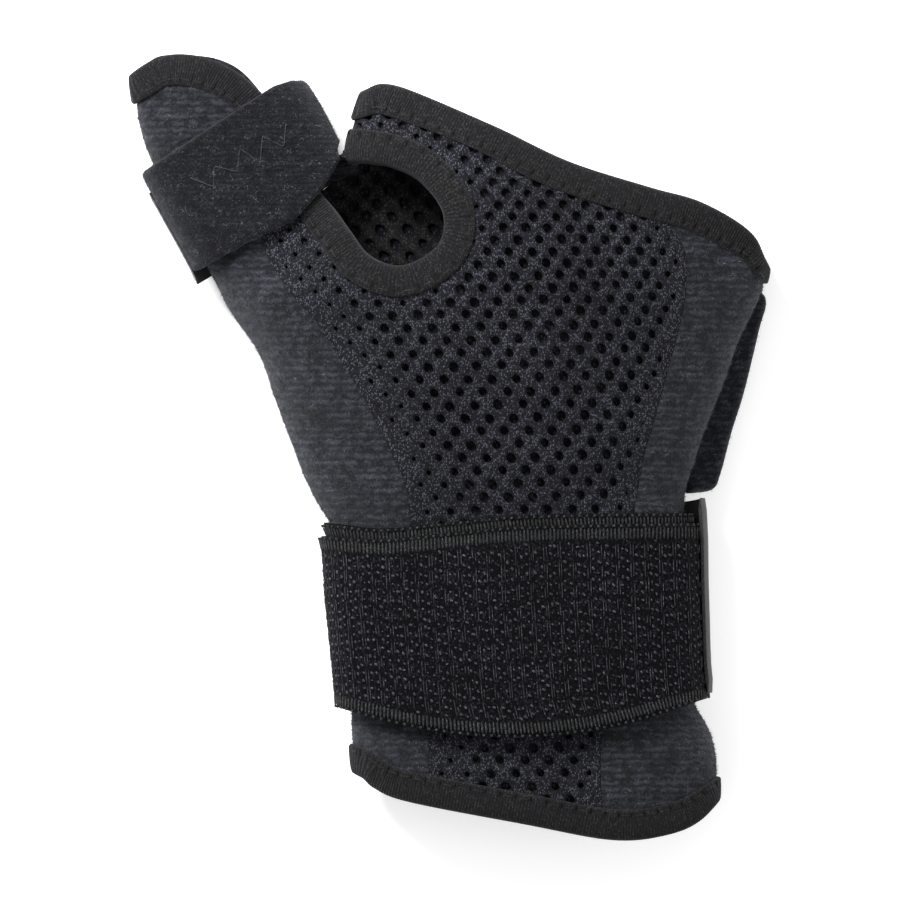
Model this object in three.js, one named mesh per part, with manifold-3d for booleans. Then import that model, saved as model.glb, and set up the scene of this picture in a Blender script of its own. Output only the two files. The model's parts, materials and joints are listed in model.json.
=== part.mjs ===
// Thumb spica splint: a padded wrap closed into a flattened sleeve, lying on its back.
// Millimetres. +X goes to the little finger side, +Y to the finger end, +Z up from the surface it lies on.
import * as THREE from 'three';
import { mergeVertices } from 'three/addons/utils/BufferGeometryUtils.js';
import Module from 'manifold-3d';

const wasm = await Module();
wasm.setup();

// Driving dimensions of the sleeve
const sleeveLength = 196;
const palmWidth = 134;
const wristWidth = 88;
const palmHeight = 34;
const wristHeight = 30;
const foldHeight = 12.5;
const foldRadius = 14;
const wallThickness = 3;
const pieceGap = 0.3;

// Driving dimensions of the thumb gutter
const thumbTilt = 29;
const thumbReach = 39;
const thumbWidth = 42.6;
const thumbHeight = 22.5;
const thumbFoldRadius = 10;
const thumbAcross = -0.369;
const thumbAlong = 0.339;

// Driving dimensions of the tapes and straps
const bindingWidth = 7.5;
const bindingProud = 0.7;
const thumbStrapWidth = 27;
const thumbStrapThickness = 1.9;
const wristStrapWidth = 50;
const wristStrapThickness = 1.8;
const wristStrapAlong = -0.227;
const wristStrapBow = 9.3;
const underStrapStep = 2.6;
const strapEndStep = 7;
const strapEndThickness = 1;
const flapThickness = 3;
const flapHeight = 3.4;

// How finely the sections are divided
const archSteps = 16;
const cornerSteps = 4;
const sleeveRows = 24;
const thumbRows = 14;
const lineSteps = 10;
const archRoundness = 2.35;

// Clearances that the stacked layers add up to
const wristStack = 2 * (wristStrapThickness + pieceGap);
const thumbStrapGap = bindingProud + pieceGap;
const thumbStack = thumbStrapGap + thumbStrapThickness;
const liftRamp = 11;

// Sections of the sleeve: place along it, how much of the palm's girth it has (0 is the wrist's),
// its folds as shares of that girth, and its height as a share of that girth's height
const sleeveSections = [
  { along: 0.50, girth: 1.00, left: -0.150, right: 0.593, rise: 0.72 },
  { along: 0.45, girth: 1.00, left: -0.164, right: 0.593, rise: 0.78 },
  { along: 0.403, girth: 1.00, left: -0.187, right: 0.593, rise: 0.86 },
  { along: 0.364, girth: 1.00, left: -0.201, right: 0.593, rise: 0.92 },
  { along: 0.314, girth: 1.00, left: -0.246, right: 0.593, rise: 0.97 },
  { along: 0.263, girth: 1.00, left: -0.306, right: 0.593, rise: 1.00 },
  { along: 0.224, girth: 1.00, left: -0.366, right: 0.592, rise: 1.00 },
  { along: 0.186, girth: 1.00, left: -0.415, right: 0.577, rise: 1.00 },
  { along: 0.130, girth: 0.72, left: -0.407, right: 0.593, rise: 1.00 },
  { along: 0.059, girth: 0.48, left: -0.395, right: 0.605, rise: 1.00 },
  { along: -0.010, girth: 0.26, left: -0.383, right: 0.617, rise: 1.00 },
  { along: -0.063, girth: 0.10, left: -0.372, right: 0.636, rise: 1.00 },
  { along: -0.115, girth: 0.00, left: -0.327, right: 0.674, rise: 1.00 },
  { along: -0.196, girth: 0.00, left: -0.309, right: 0.677, rise: 1.00 },
  { along: -0.324, girth: 0.00, left: -0.281, right: 0.692, rise: 1.00 },
  { along: -0.349, girth: 0.00, left: -0.283, right: 0.724, rise: 1.00 },
  { along: -0.378, girth: 0.00, left: -0.280, right: 0.752, rise: 1.00 },
  { along: -0.430, girth: 0.00, left: -0.268, right: 0.761, rise: 0.96 },
  { along: -0.530, girth: 0.00, left: -0.240, right: 0.750, rise: 0.88 },
];

// Sections of the thumb gutter, square to its own axis: place as a share of the thumb's reach,
// folds as shares of the thumb's width, height as a share of the thumb's height
const thumbSections = [
  { along: -1.33, left: -0.30, right: 0.25, rise: 0.85 },
  { along: -1.02, left: -0.44, right: 0.34, rise: 0.95 },
  { along: -0.64, left: -0.50, right: 0.44, rise: 1.00 },
  { along: -0.30, left: -0.48, right: 0.50, rise: 1.00 },
  { along: 0.30, left: -0.475, right: 0.50, rise: 0.96 },
  { along: 0.62, left: -0.44, right: 0.45, rise: 0.86 },
  { along: 0.95, left: -0.33, right: 0.36, rise: 0.74 },
  { along: 1.15, left: -0.25, right: 0.30, rise: 0.68 },
];

// Lines on the front, as shares of the palm's width across and the sleeve's length along
const topEdge = [
  { across: -0.262, along: 0.400 },
  { across: -0.205, along: 0.436 },
  { across: -0.162, along: 0.453 },
  { across: -0.101, along: 0.458 },
  { across: 0.076, along: 0.408 },
  { across: 0.220, along: 0.361 },
  { across: 0.371, along: 0.328 },
  { across: 0.468, along: 0.309 },
  { across: 0.558, along: 0.273 },
  { across: 0.588, along: 0.236 },
  { across: 0.634, along: 0.170 },
];
const bottomEdge = [
  { across: -0.230, along: -0.405 },
  { across: -0.168, along: -0.421 },
  { across: -0.142, along: -0.435 },
  { across: -0.078, along: -0.452 },
  { across: 0.138, along: -0.480 },
  { across: 0.300, along: -0.500 },
  { across: 0.400, along: -0.495 },
  { across: 0.472, along: -0.474 },
  { across: 0.530, along: -0.425 },
];
const meshLeft = [
  { across: -0.250, along: 0.530 },
  { across: -0.240, along: 0.390 },
  { across: -0.275, along: 0.335 },
  { across: -0.351, along: 0.278 },
  { across: -0.317, along: 0.213 },
  { across: -0.239, along: 0.145 },
  { across: -0.162, along: 0.060 },
  { across: -0.099, along: -0.026 },
  { across: -0.075, along: -0.089 },
  { across: -0.040, along: -0.371 },
  { across: -0.049, along: -0.530 },
];
const meshRight = [
  { across: 0.200, along: 0.530 },
  { across: 0.300, along: 0.380 },
  { across: 0.385, along: 0.300 },
  { across: 0.437, along: 0.249 },
  { across: 0.437, along: 0.185 },
  { across: 0.410, along: 0.107 },
  { across: 0.379, along: 0.029 },
  { across: 0.349, along: -0.062 },
  { across: 0.282, along: -0.376 },
  { across: 0.299, along: -0.530 },
];
const holeEdge = [
  { across: -0.262, along: 0.350 },
  { across: -0.246, along: 0.327 },
  { across: -0.226, along: 0.307 },
  { across: -0.190, along: 0.273 },
  { across: -0.150, along: 0.240 },
  { across: -0.088, along: 0.228 },
  { across: -0.022, along: 0.254 },
  { across: -0.011, along: 0.297 },
  { across: -0.052, along: 0.337 },
  { across: -0.101, along: 0.356 },
  { across: -0.150, along: 0.364 },
  { across: -0.225, along: 0.368 },
];

// Lines behind, in the same shares
const backLeft = [
  { across: -0.121, along: 0.530 },
  { across: -0.131, along: 0.416 },
  { across: -0.146, along: 0.358 },
  { across: -0.246, along: 0.295 },
  { across: -0.280, along: 0.237 },
  { across: -0.271, along: 0.148 },
  { across: -0.224, along: 0.033 },
  { across: -0.146, along: -0.094 },
  { across: -0.108, along: -0.222 },
  { across: -0.093, along: -0.530 },
];
const backRight = [
  { across: 0.476, along: 0.530 },
  { across: 0.489, along: 0.186 },
  { across: 0.448, along: 0.110 },
  { across: 0.407, along: 0.020 },
  { across: 0.364, along: -0.082 },
  { across: 0.373, along: -0.222 },
  { across: 0.382, along: -0.530 },
];
const backFlapEdge = [
  { across: 0.540, along: 0.215 },
  { across: 0.590, along: 0.190 },
  { across: 0.578, along: 0.147 },
  { across: 0.550, along: 0.068 },
  { across: 0.528, along: 0.020 },
  { across: 0.506, along: -0.036 },
  { across: 0.490, along: -0.056 },
  { across: 0.440, along: -0.061 },
];
// The wrist strap's upper edge: place across the wrist from its middle, and dip as a share of the width
const wristStrapTop = [
  { across: -1.30, dip: 0.00 },
  { across: -0.95, dip: 0.04 },
  { across: -0.70, dip: 0.07 },
  { across: -0.35, dip: 0.04 },
  { across: 0.00, dip: 0.01 },
  { across: 0.50, dip: 0.00 },
  { across: 0.90, dip: 0.00 },
  { across: 1.30, dip: 0.00 },
];
const webNotch = { across: -0.207, along: 0.357 };

// The thumb flap's edge in the gutter's own frame, as shares of the thumb's width and reach
const thumbEdge = [
  { across: -0.600, along: 0.70 },
  { across: -0.420, along: 0.84 },
  { across: -0.315, along: 0.96 },
  { across: -0.145, along: 1.00 },
  { across: 0.000, along: 0.93 },
  { across: 0.160, along: 0.81 },
  { across: 0.260, along: 0.66 },
  { across: 0.305, along: 0.45 },
  { across: 0.315, along: 0.20 },
];

// Places and lines
const radians = THREE.MathUtils.degToRad;
const thumbRoot = new THREE.Vector2(thumbAcross * palmWidth, thumbAlong * sleeveLength);
const onSleeve = ({ across, along }) => new THREE.Vector2(across * palmWidth, along * sleeveLength);
const onThumb = ({ across, along }) => new THREE.Vector2(across * thumbWidth, along * thumbReach)
  .rotateAround(new THREE.Vector2(), radians(thumbTilt))
  .add(thumbRoot);

function smoothLine(points) {
  const curve = new THREE.SplineCurve(points);
  return curve.getPoints(lineSteps * 2);
}

// Moves a line sideways, to the left of the way it runs
function beside(line, distance) {
  return line.map((point, index) => {
    const before = line[Math.max(index - 1, 0)];
    const after = line[Math.min(index + 1, line.length - 1)];
    const way = after.clone().sub(before).normalize();
    return new THREE.Vector2(point.x - way.y * distance, point.y + way.x * distance);
  });
}

// Reads a column of a table of sections at any place, on a smooth curve through its rows
function valueAt(table, column, along) {
  const rising = [...table].sort((a, b) => a.along - b.along);
  const count = rising.length;
  const place = THREE.MathUtils.clamp(along, rising[0].along, rising[count - 1].along);
  const found = rising.findIndex((row) => row.along >= place);
  const upper = Math.max(found, 1);
  const slope = (index) => {
    const low = rising[Math.max(index - 1, 0)];
    const high = rising[Math.min(index + 1, count - 1)];
    return (high[column] - low[column]) / (high.along - low.along);
  };
  const start = rising[upper - 1];
  const end = rising[upper];
  const span = end.along - start.along;
  const t = (place - start.along) / span;
  const endPart = t * t * (3 - 2 * t);
  const startSlope = slope(upper - 1) * span * t * (1 - t) * (1 - t);
  const endSlope = slope(upper) * span * t * t * (t - 1);
  return start[column] * (1 - endPart) + end[column] * endPart + startSlope + endSlope;
}

// One between the two ends, falling to nought over the ramp beyond each
function plateau(place, low, high) {
  const rise = THREE.MathUtils.smoothstep(place, low - liftRamp, low);
  const fall = 1 - THREE.MathUtils.smoothstep(place, high, high + liftRamp);
  return Math.min(rise, fall);
}

// Solids
function solidOf(vertices, triangles) {
  const mesh = new wasm.Mesh({
    numProp: 3,
    vertProperties: new Float32Array(vertices),
    triVerts: new Uint32Array(triangles),
  });
  return new wasm.Manifold(mesh);
}

// A flattened ring, arched above its folds and rounded below them to a flat base
function sectionRing({ left, right, top, base, radius }, offset) {
  const middle = (left + right) / 2;
  const half = (right - left) / 2 + offset;
  const height = top + offset - foldHeight;
  const floor = Math.max(base - offset, 0);
  const depth = foldHeight - floor;
  const corner = radius + offset;
  const ring = [];
  for (let step = 0; step <= archSteps; step += 1) {
    const angle = (Math.PI * step) / archSteps;
    const across = Math.sign(Math.cos(angle)) * Math.abs(Math.cos(angle)) ** (2 / archRoundness);
    const up = Math.sin(angle) ** (2 / archRoundness);
    ring.push([middle + half * across, foldHeight + height * up]);
  }
  for (let step = 1; step <= cornerSteps; step += 1) {
    const angle = (Math.PI * step) / (2 * cornerSteps);
    ring.push([middle - half + corner * (1 - Math.cos(angle)), foldHeight - depth * Math.sin(angle)]);
  }
  for (let step = cornerSteps; step >= 1; step -= 1) {
    const angle = (Math.PI * step) / (2 * cornerSteps);
    ring.push([middle + half - corner * (1 - Math.cos(angle)), foldHeight - depth * Math.sin(angle)]);
  }
  return ring;
}

// A closed solid through rings of equal count, each at its own place along the axis
function loft(rows, place) {
  const count = rows[0].ring.length;
  const vertices = [];
  const triangles = [];
  rows.forEach(({ along, ring }) => {
    ring.forEach(([across, up]) => {
      const spot = place(across, along);
      vertices.push(spot.x, spot.y, up);
    });
  });
  for (let row = 0; row < rows.length - 1; row += 1) {
    for (let index = 0; index < count; index += 1) {
      const next = (index + 1) % count;
      const low = row * count;
      const high = low + count;
      triangles.push(low + index, high + index, low + next);
      triangles.push(low + next, high + index, high + next);
    }
  }
  const last = (rows.length - 1) * count;
  for (let index = 1; index < count - 1; index += 1) {
    triangles.push(0, index, index + 1);
    triangles.push(last, last + index + 1, last + index);
  }
  return solidOf(vertices, triangles);
}

const wristStrapMiddle = wristStrapAlong * sleeveLength;
const wristStrapLow = wristStrapMiddle - wristStrapWidth / 2 - wristStrapBow / 3;
const wristStrapHigh = wristStrapMiddle + wristStrapWidth / 2 + underStrapStep;

function sleeveSection(along) {
  const girth = valueAt(sleeveSections, 'girth', along);
  const width = THREE.MathUtils.lerp(wristWidth, palmWidth, girth);
  const height = THREE.MathUtils.lerp(wristHeight, palmHeight, girth);
  return {
    left: valueAt(sleeveSections, 'left', along) * width,
    right: valueAt(sleeveSections, 'right', along) * width,
    top: valueAt(sleeveSections, 'rise', along) * height,
    base: wristStack * plateau(along * sleeveLength, wristStrapLow, wristStrapHigh),
    radius: foldRadius,
  };
}

function thumbSection(along) {
  const reach = along * thumbReach;
  return {
    left: valueAt(thumbSections, 'left', along) * thumbWidth,
    right: valueAt(thumbSections, 'right', along) * thumbWidth,
    top: valueAt(thumbSections, 'rise', along) * thumbHeight,
    base: thumbStack * THREE.MathUtils.smoothstep(reach, -thumbStrapWidth, -thumbStrapWidth / 2),
    radius: thumbFoldRadius,
  };
}

// The sleeve and the gutter as solid forms, grown or shrunk by an offset
function sleeveForm(offset) {
  const low = sleeveSections[sleeveSections.length - 1].along;
  const high = sleeveSections[0].along;
  const rows = [];
  for (let row = 0; row <= sleeveRows; row += 1) {
    const along = THREE.MathUtils.lerp(low, high, row / sleeveRows);
    rows.push({ along: along * sleeveLength, ring: sectionRing(sleeveSection(along), offset) });
  }
  return loft(rows, (across, along) => new THREE.Vector2(across, along));
}

function thumbForm(offset) {
  const low = thumbSections[0].along;
  const high = thumbSections[thumbSections.length - 1].along;
  const rows = [];
  for (let row = 0; row <= thumbRows; row += 1) {
    const along = THREE.MathUtils.lerp(low, high, row / thumbRows);
    rows.push({ along, ring: sectionRing(thumbSection(along), offset) });
  }
  return loft(rows, (across, along) => onThumb({ across: across / thumbWidth, along }));
}

function wall(outward, inward) {
  const outside = sleeveForm(outward).add(thumbForm(outward));
  const inside = sleeveForm(-inward).add(thumbForm(-inward));
  return outside.subtract(inside);
}

// A straight-sided block over an outline
function block(outline, low, high) {
  const shape = new THREE.Shape(outline);
  const geometry = new THREE.ExtrudeGeometry(shape, { depth: high - low, bevelEnabled: false });
  geometry.translate(0, 0, low);
  geometry.deleteAttribute('normal');
  geometry.deleteAttribute('uv');
  const merged = mergeVertices(geometry, 1e-4);
  return solidOf(merged.attributes.position.array, merged.index.array);
}

const lowest = -20;
const highest = 90;
const overFront = (outline) => block(outline, foldHeight, highest);
const overBack = (outline) => block(outline, lowest, foldHeight);
const overAll = (outline) => block(outline, lowest, highest);

const farLeft = -palmWidth;
const farRight = palmWidth;
const farUp = sleeveLength;
const farDown = -sleeveLength;
const corner = (x, y) => new THREE.Vector2(x, y);
const between = (first, second) => [...first, ...[...second].reverse()];

// Everything on one side of a line that runs along the sleeve or across it
const leftOf = (line) => [corner(farLeft, farUp), ...line, corner(farLeft, farDown)];
const rightOf = (line) => [corner(farRight, farUp), ...line, corner(farRight, farDown)];
const above = (line) => {
  const end = line[line.length - 1];
  return [corner(line[0].x, farUp), ...line, corner(farRight, end.y), corner(farRight, farUp)];
};
const below = (line) => {
  const end = line[line.length - 1];
  const left = [corner(farLeft, farDown), corner(farLeft, line[0].y)];
  return [...left, ...line, corner(farRight, end.y), corner(farRight, farDown)];
};

const topLine = smoothLine(topEdge.map(onSleeve));
const bottomLine = smoothLine(bottomEdge.map(onSleeve));
const meshLeftLine = smoothLine(meshLeft.map(onSleeve));
const meshRightLine = smoothLine(meshRight.map(onSleeve));
const backLeftLine = smoothLine(backLeft.map(onSleeve));
const backRightLine = smoothLine(backRight.map(onSleeve));
const holeLine = smoothLine(holeEdge.map(onSleeve));
const thumbLine = smoothLine(thumbEdge.map(onThumb));

// Past the thumb flap's edge: open to the web notch, and on the front to the thumb hole
const slotRight = [
  onSleeve(webNotch),
  onThumb({ across: 0.61, along: 0.11 }),
  onThumb({ across: 0.61, along: 3 }),
  onThumb({ across: -0.60, along: 3 }),
];
const slotBack = overBack([...thumbLine, onThumb({ across: 0.40, along: -0.05 }), ...slotRight]);
const slotFront = overFront([...thumbLine, holeLine[0], ...slotRight]);
const hole = overFront([...holeLine, onThumb({ across: 0.40, along: -0.05 })]);

const cutAbove = overAll(above(topLine));
const cutBelow = overAll(below(bottomLine));

function trimmed(solid) {
  return solid.subtract(cutAbove).subtract(cutBelow).subtract(slotBack).subtract(slotFront).subtract(hole);
}

const cloth = trimmed(wall(0, wallThickness));
const tape = trimmed(wall(bindingProud, wallThickness + bindingProud));

// Areas that the tapes take, and the same areas with the gap round them
const half = pieceGap / 2;
const tapeBand = (line, grown) => between(beside(line, wallThickness), beside(line, -bindingWidth - grown));
const tapeAreas = (grown) => ({
  top: overAll(above(beside(topLine, -bindingWidth - grown))),
  bottom: overAll(below(beside(bottomLine, bindingWidth + grown))),
  hole: overFront(tapeBand(holeLine, grown)),
  flap: overAll(tapeBand(thumbLine, grown)),
});
const tapes = tapeAreas(0);
const kept = tapeAreas(pieceGap);

const clothInside = cloth.subtract(kept.top).subtract(kept.bottom).subtract(kept.hole).subtract(kept.flap);

// The fold over the thumb web, behind, belongs to the front mesh
function webWrap(grown) {
  const low = onSleeve(webNotch).y - wallThickness / 2 - grown;
  const left = onSleeve(webNotch).x - wallThickness - grown;
  const base = [corner(left, low), corner(farRight, low)];
  const web = overBack([...base, corner(farRight, farUp), corner(left, farUp)]);
  return web.intersect(overBack(leftOf(beside(backLeftLine, grown))));
}

function frontMeshPanel() {
  const left = beside(meshLeftLine, half);
  const right = beside(meshRightLine, -half);
  const front = clothInside.intersect(overFront(between(left, right)));
  const wrap = clothInside.intersect(webWrap(-half));
  return front.add(wrap);
}

function backMeshPanel() {
  const left = beside(backLeftLine, half);
  const right = beside(backRightLine, -half);
  return clothInside.intersect(overBack(between(left, right)));
}

function leftPlushPanel() {
  const front = clothInside.intersect(overFront(leftOf(beside(meshLeftLine, -half))));
  const back = clothInside.intersect(overBack(leftOf(beside(backLeftLine, -half)))).subtract(webWrap(half));
  return front.add(back);
}

function rightPlushPanel() {
  const front = clothInside.intersect(overFront(rightOf(beside(meshRightLine, half))));
  const back = clothInside.intersect(overBack(rightOf(beside(backRightLine, half))));
  return front.add(back);
}

function backFlap() {
  const outline = smoothLine(backFlapEdge.map(onSleeve));
  const root = onSleeve({ across: 0.42, along: 0.15 });
  const plate = block([...outline, root], flapHeight, flapHeight + flapThickness);
  return plate.subtract(sleeveForm(bindingProud + pieceGap));
}

// The straps are layers wound round the form, cut to their edges
function wristLayer(start, end, outline) {
  return sleeveForm(end).subtract(sleeveForm(start)).intersect(overAll(outline));
}

function wristEdges(topShift, bottomShift) {
  const section = sleeveSection(wristStrapAlong);
  const centre = (section.left + section.right) / 2;
  const reach = (section.right - section.left) / 2 + wristStack;
  const top = wristStrapMiddle + wristStrapWidth / 2 + topShift;
  const bottom = wristStrapMiddle - wristStrapWidth / 2 + bottomShift;
  const upper = wristStrapTop.map(({ across, dip }) => {
    const sag = dip * wristStrapWidth;
    return corner(centre + across * reach, top - sag);
  });
  const lower = wristStrapTop.map(({ across }) => {
    const bow = wristStrapBow * (1 / 3 - across * across);
    return corner(centre + across * reach, bottom - bow);
  });
  return between(smoothLine(lower), smoothLine(upper));
}

function wristStrapUnder() {
  return wristLayer(pieceGap, pieceGap + wristStrapThickness, wristEdges(underStrapStep, underStrapStep));
}

function wristStrap() {
  return wristLayer(wristStack - wristStrapThickness, wristStack, wristEdges(0, 0));
}

function wristStrapEnd() {
  const start = wristStack + pieceGap;
  const layer = sleeveForm(start + strapEndThickness).subtract(sleeveForm(start));
  const top = wristStrapMiddle + wristStrapWidth / 2 + strapEndStep;
  const bottom = top - wristStrapWidth;
  const side = sleeveSection(wristStrapAlong).right - foldRadius / 2;
  const outline = [corner(side, bottom), corner(farRight, bottom), corner(farRight, top), corner(side, top)];
  return layer.intersect(block(outline, wristStrapThickness, foldHeight + foldRadius / 4));
}

// The thumb strap leans a little on the gutter's axis, and its lower corner at the web is rounded off
const thumbStrapEdge = [
  { across: -0.75, along: 0.52 },
  { across: 0.40, along: 0.71 },
  { across: 0.49, along: 0.68 },
  { across: 0.75, along: 0.40 },
  { across: 0.75, along: -0.25 },
  { across: 0.53, along: -0.25 },
  { across: 0.31, along: -0.41 },
  { across: 0.10, along: -0.52 },
  { across: -0.20, along: -0.49 },
  { across: -0.75, along: -0.49 },
];
const thumbStrapEndEdge = [
  { across: -0.75, along: 0.36 },
  { across: -0.44, along: 0.36 },
  { across: -0.44, along: -0.62 },
  { across: -0.75, along: -0.60 },
];

function onThumbStrap({ across, along }) {
  return onThumb({ across, along: (along * thumbStrapWidth) / thumbReach });
}

function thumbStrap() {
  const layer = thumbForm(thumbStack).subtract(thumbForm(thumbStrapGap));
  const outline = thumbStrapEdge.map(onThumbStrap);
  return layer.intersect(overAll(outline)).subtract(sleeveForm(bindingProud + pieceGap));
}

function thumbStrapEnd() {
  const start = thumbStack + pieceGap;
  const layer = thumbForm(start + strapEndThickness).subtract(thumbForm(start));
  const outline = thumbStrapEndEdge.map(onThumbStrap);
  return layer.intersect(block(outline, thumbStack, foldHeight));
}

// Materials
const finish = (color, roughness) => new THREE.MeshStandardMaterial({ color, roughness, metalness: 0 });
const airMesh = finish(0x303135, 0.85);
const plush = finish(0x26272b, 0.95);
const ribbedTape = finish(0x3a3a38, 0.8);
const elastic = finish(0x151519, 0.75);
const hookTape = finish(0x8c8c8c, 0.6);

function part(name, solid, material) {
  const { vertProperties, triVerts } = solid.getMesh();
  const geometry = new THREE.BufferGeometry();
  geometry.setAttribute('position', new THREE.BufferAttribute(new Float32Array(vertProperties), 3));
  geometry.setIndex(new THREE.BufferAttribute(new Uint32Array(triVerts), 1));
  geometry.computeVertexNormals();
  const mesh = new THREE.Mesh(geometry, material);
  mesh.name = name;
  return mesh;
}

const splint = new THREE.Group();
splint.add(part('front_mesh_panel', frontMeshPanel(), airMesh));
splint.add(part('back_mesh_panel', backMeshPanel(), airMesh));
splint.add(part('left_plush_panel', leftPlushPanel(), plush));
splint.add(part('right_plush_panel', rightPlushPanel(), plush));
splint.add(part('back_flap', backFlap(), plush));
splint.add(part('top_binding', tape.intersect(tapes.top), ribbedTape));
splint.add(part('bottom_binding', tape.intersect(tapes.bottom), ribbedTape));
splint.add(part('thumb_hole_binding', tape.intersect(tapes.hole).subtract(kept.top), ribbedTape));
splint.add(part('thumb_flap_binding', tape.intersect(tapes.flap), ribbedTape));
splint.add(part('thumb_strap', thumbStrap(), plush));
splint.add(part('thumb_strap_end', thumbStrapEnd(), hookTape));
splint.add(part('wrist_strap_under', wristStrapUnder(), elastic));
splint.add(part('wrist_strap', wristStrap(), elastic));
splint.add(part('wrist_strap_end', wristStrapEnd(), hookTape));

export default splint;
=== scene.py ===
# Thumb spica splint: a padded wrap closed into a flattened sleeve, lying on its back
# The forms are worked out in millimetres and become metres where a mesh is made
import json
import math
from collections import namedtuple

import bpy
import numpy as np
from mathutils import Vector
from mathutils.bvhtree import BVHTree
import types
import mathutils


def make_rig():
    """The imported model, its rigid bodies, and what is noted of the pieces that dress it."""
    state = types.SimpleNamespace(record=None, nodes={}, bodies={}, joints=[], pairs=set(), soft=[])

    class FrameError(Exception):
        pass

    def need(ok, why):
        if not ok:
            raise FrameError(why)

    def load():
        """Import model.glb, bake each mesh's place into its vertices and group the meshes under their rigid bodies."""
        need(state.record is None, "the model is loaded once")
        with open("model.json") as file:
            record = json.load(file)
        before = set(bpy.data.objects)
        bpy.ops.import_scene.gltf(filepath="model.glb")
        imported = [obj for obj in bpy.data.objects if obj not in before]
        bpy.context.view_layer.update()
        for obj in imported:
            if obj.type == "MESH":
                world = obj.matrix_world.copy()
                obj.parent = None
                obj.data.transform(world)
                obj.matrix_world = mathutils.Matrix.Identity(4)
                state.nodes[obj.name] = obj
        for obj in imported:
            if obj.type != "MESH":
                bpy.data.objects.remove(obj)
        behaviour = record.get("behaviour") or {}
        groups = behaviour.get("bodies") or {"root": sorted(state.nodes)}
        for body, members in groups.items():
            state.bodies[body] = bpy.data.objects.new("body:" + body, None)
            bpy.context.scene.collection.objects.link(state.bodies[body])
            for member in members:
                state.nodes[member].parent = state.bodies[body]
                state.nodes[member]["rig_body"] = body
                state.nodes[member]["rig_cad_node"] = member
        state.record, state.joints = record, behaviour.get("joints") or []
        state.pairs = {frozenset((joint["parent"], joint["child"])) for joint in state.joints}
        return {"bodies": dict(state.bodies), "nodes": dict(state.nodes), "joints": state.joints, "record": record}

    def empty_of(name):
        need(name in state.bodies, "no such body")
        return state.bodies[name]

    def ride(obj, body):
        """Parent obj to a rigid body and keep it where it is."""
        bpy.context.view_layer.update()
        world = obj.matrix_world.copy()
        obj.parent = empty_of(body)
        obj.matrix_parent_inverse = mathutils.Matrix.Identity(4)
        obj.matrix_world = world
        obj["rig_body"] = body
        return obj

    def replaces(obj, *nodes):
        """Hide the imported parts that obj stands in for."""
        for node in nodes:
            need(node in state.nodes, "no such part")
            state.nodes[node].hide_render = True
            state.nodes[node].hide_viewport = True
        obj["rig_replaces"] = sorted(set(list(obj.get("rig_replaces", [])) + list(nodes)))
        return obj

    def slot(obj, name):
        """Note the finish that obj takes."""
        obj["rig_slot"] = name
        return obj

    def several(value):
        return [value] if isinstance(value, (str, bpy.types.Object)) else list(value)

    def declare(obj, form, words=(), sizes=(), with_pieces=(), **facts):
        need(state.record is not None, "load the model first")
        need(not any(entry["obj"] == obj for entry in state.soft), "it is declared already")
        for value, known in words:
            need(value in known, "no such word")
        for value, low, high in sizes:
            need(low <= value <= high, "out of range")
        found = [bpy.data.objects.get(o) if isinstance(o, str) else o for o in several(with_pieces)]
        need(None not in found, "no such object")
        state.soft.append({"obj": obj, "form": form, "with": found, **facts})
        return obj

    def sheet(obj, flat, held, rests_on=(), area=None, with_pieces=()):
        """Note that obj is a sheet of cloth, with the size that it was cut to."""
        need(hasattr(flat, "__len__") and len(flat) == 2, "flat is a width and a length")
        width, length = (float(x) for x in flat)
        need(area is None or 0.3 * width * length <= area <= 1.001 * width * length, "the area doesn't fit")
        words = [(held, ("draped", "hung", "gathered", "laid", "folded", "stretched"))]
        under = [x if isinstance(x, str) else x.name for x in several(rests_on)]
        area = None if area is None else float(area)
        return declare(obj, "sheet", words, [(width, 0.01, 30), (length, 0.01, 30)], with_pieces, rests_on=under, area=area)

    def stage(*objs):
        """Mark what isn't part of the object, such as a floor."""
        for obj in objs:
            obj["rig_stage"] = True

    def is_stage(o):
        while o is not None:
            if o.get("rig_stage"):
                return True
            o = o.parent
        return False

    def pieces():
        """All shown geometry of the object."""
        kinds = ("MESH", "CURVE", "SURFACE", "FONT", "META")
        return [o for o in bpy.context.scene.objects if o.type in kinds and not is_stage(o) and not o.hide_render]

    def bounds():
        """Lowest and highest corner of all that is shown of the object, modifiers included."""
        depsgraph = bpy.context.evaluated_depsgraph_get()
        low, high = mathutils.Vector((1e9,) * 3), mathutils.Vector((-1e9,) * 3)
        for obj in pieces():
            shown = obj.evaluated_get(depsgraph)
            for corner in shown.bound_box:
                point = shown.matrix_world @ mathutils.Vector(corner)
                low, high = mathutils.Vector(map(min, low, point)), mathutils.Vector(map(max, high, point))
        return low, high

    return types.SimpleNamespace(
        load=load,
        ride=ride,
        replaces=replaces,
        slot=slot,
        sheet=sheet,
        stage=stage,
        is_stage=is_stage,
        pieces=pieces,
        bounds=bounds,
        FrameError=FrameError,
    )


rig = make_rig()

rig.load()
cad_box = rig.bounds()
bpy.ops.object.select_all(action="DESELECT")

METRES = 0.001
BODY = "root"

# Driving sizes of the sleeve, as the solids have them
SLEEVE_LENGTH = 196
PALM_WIDTH = 134
WRIST_WIDTH = 88
PALM_HEIGHT = 34
WRIST_HEIGHT = 30
FOLD_HEIGHT = 12.5
FOLD_RADIUS = 14
WALL = 3
ARCH_ROUNDNESS = 2.35

# Driving sizes of the thumb gutter
THUMB_TILT = math.radians(29)
THUMB_REACH = 39
THUMB_WIDTH = 42.6
THUMB_HEIGHT = 22.5
THUMB_FOLD_RADIUS = 10
THUMB_ROOT = np.array([-0.369 * PALM_WIDTH, 0.339 * SLEEVE_LENGTH])

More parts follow.
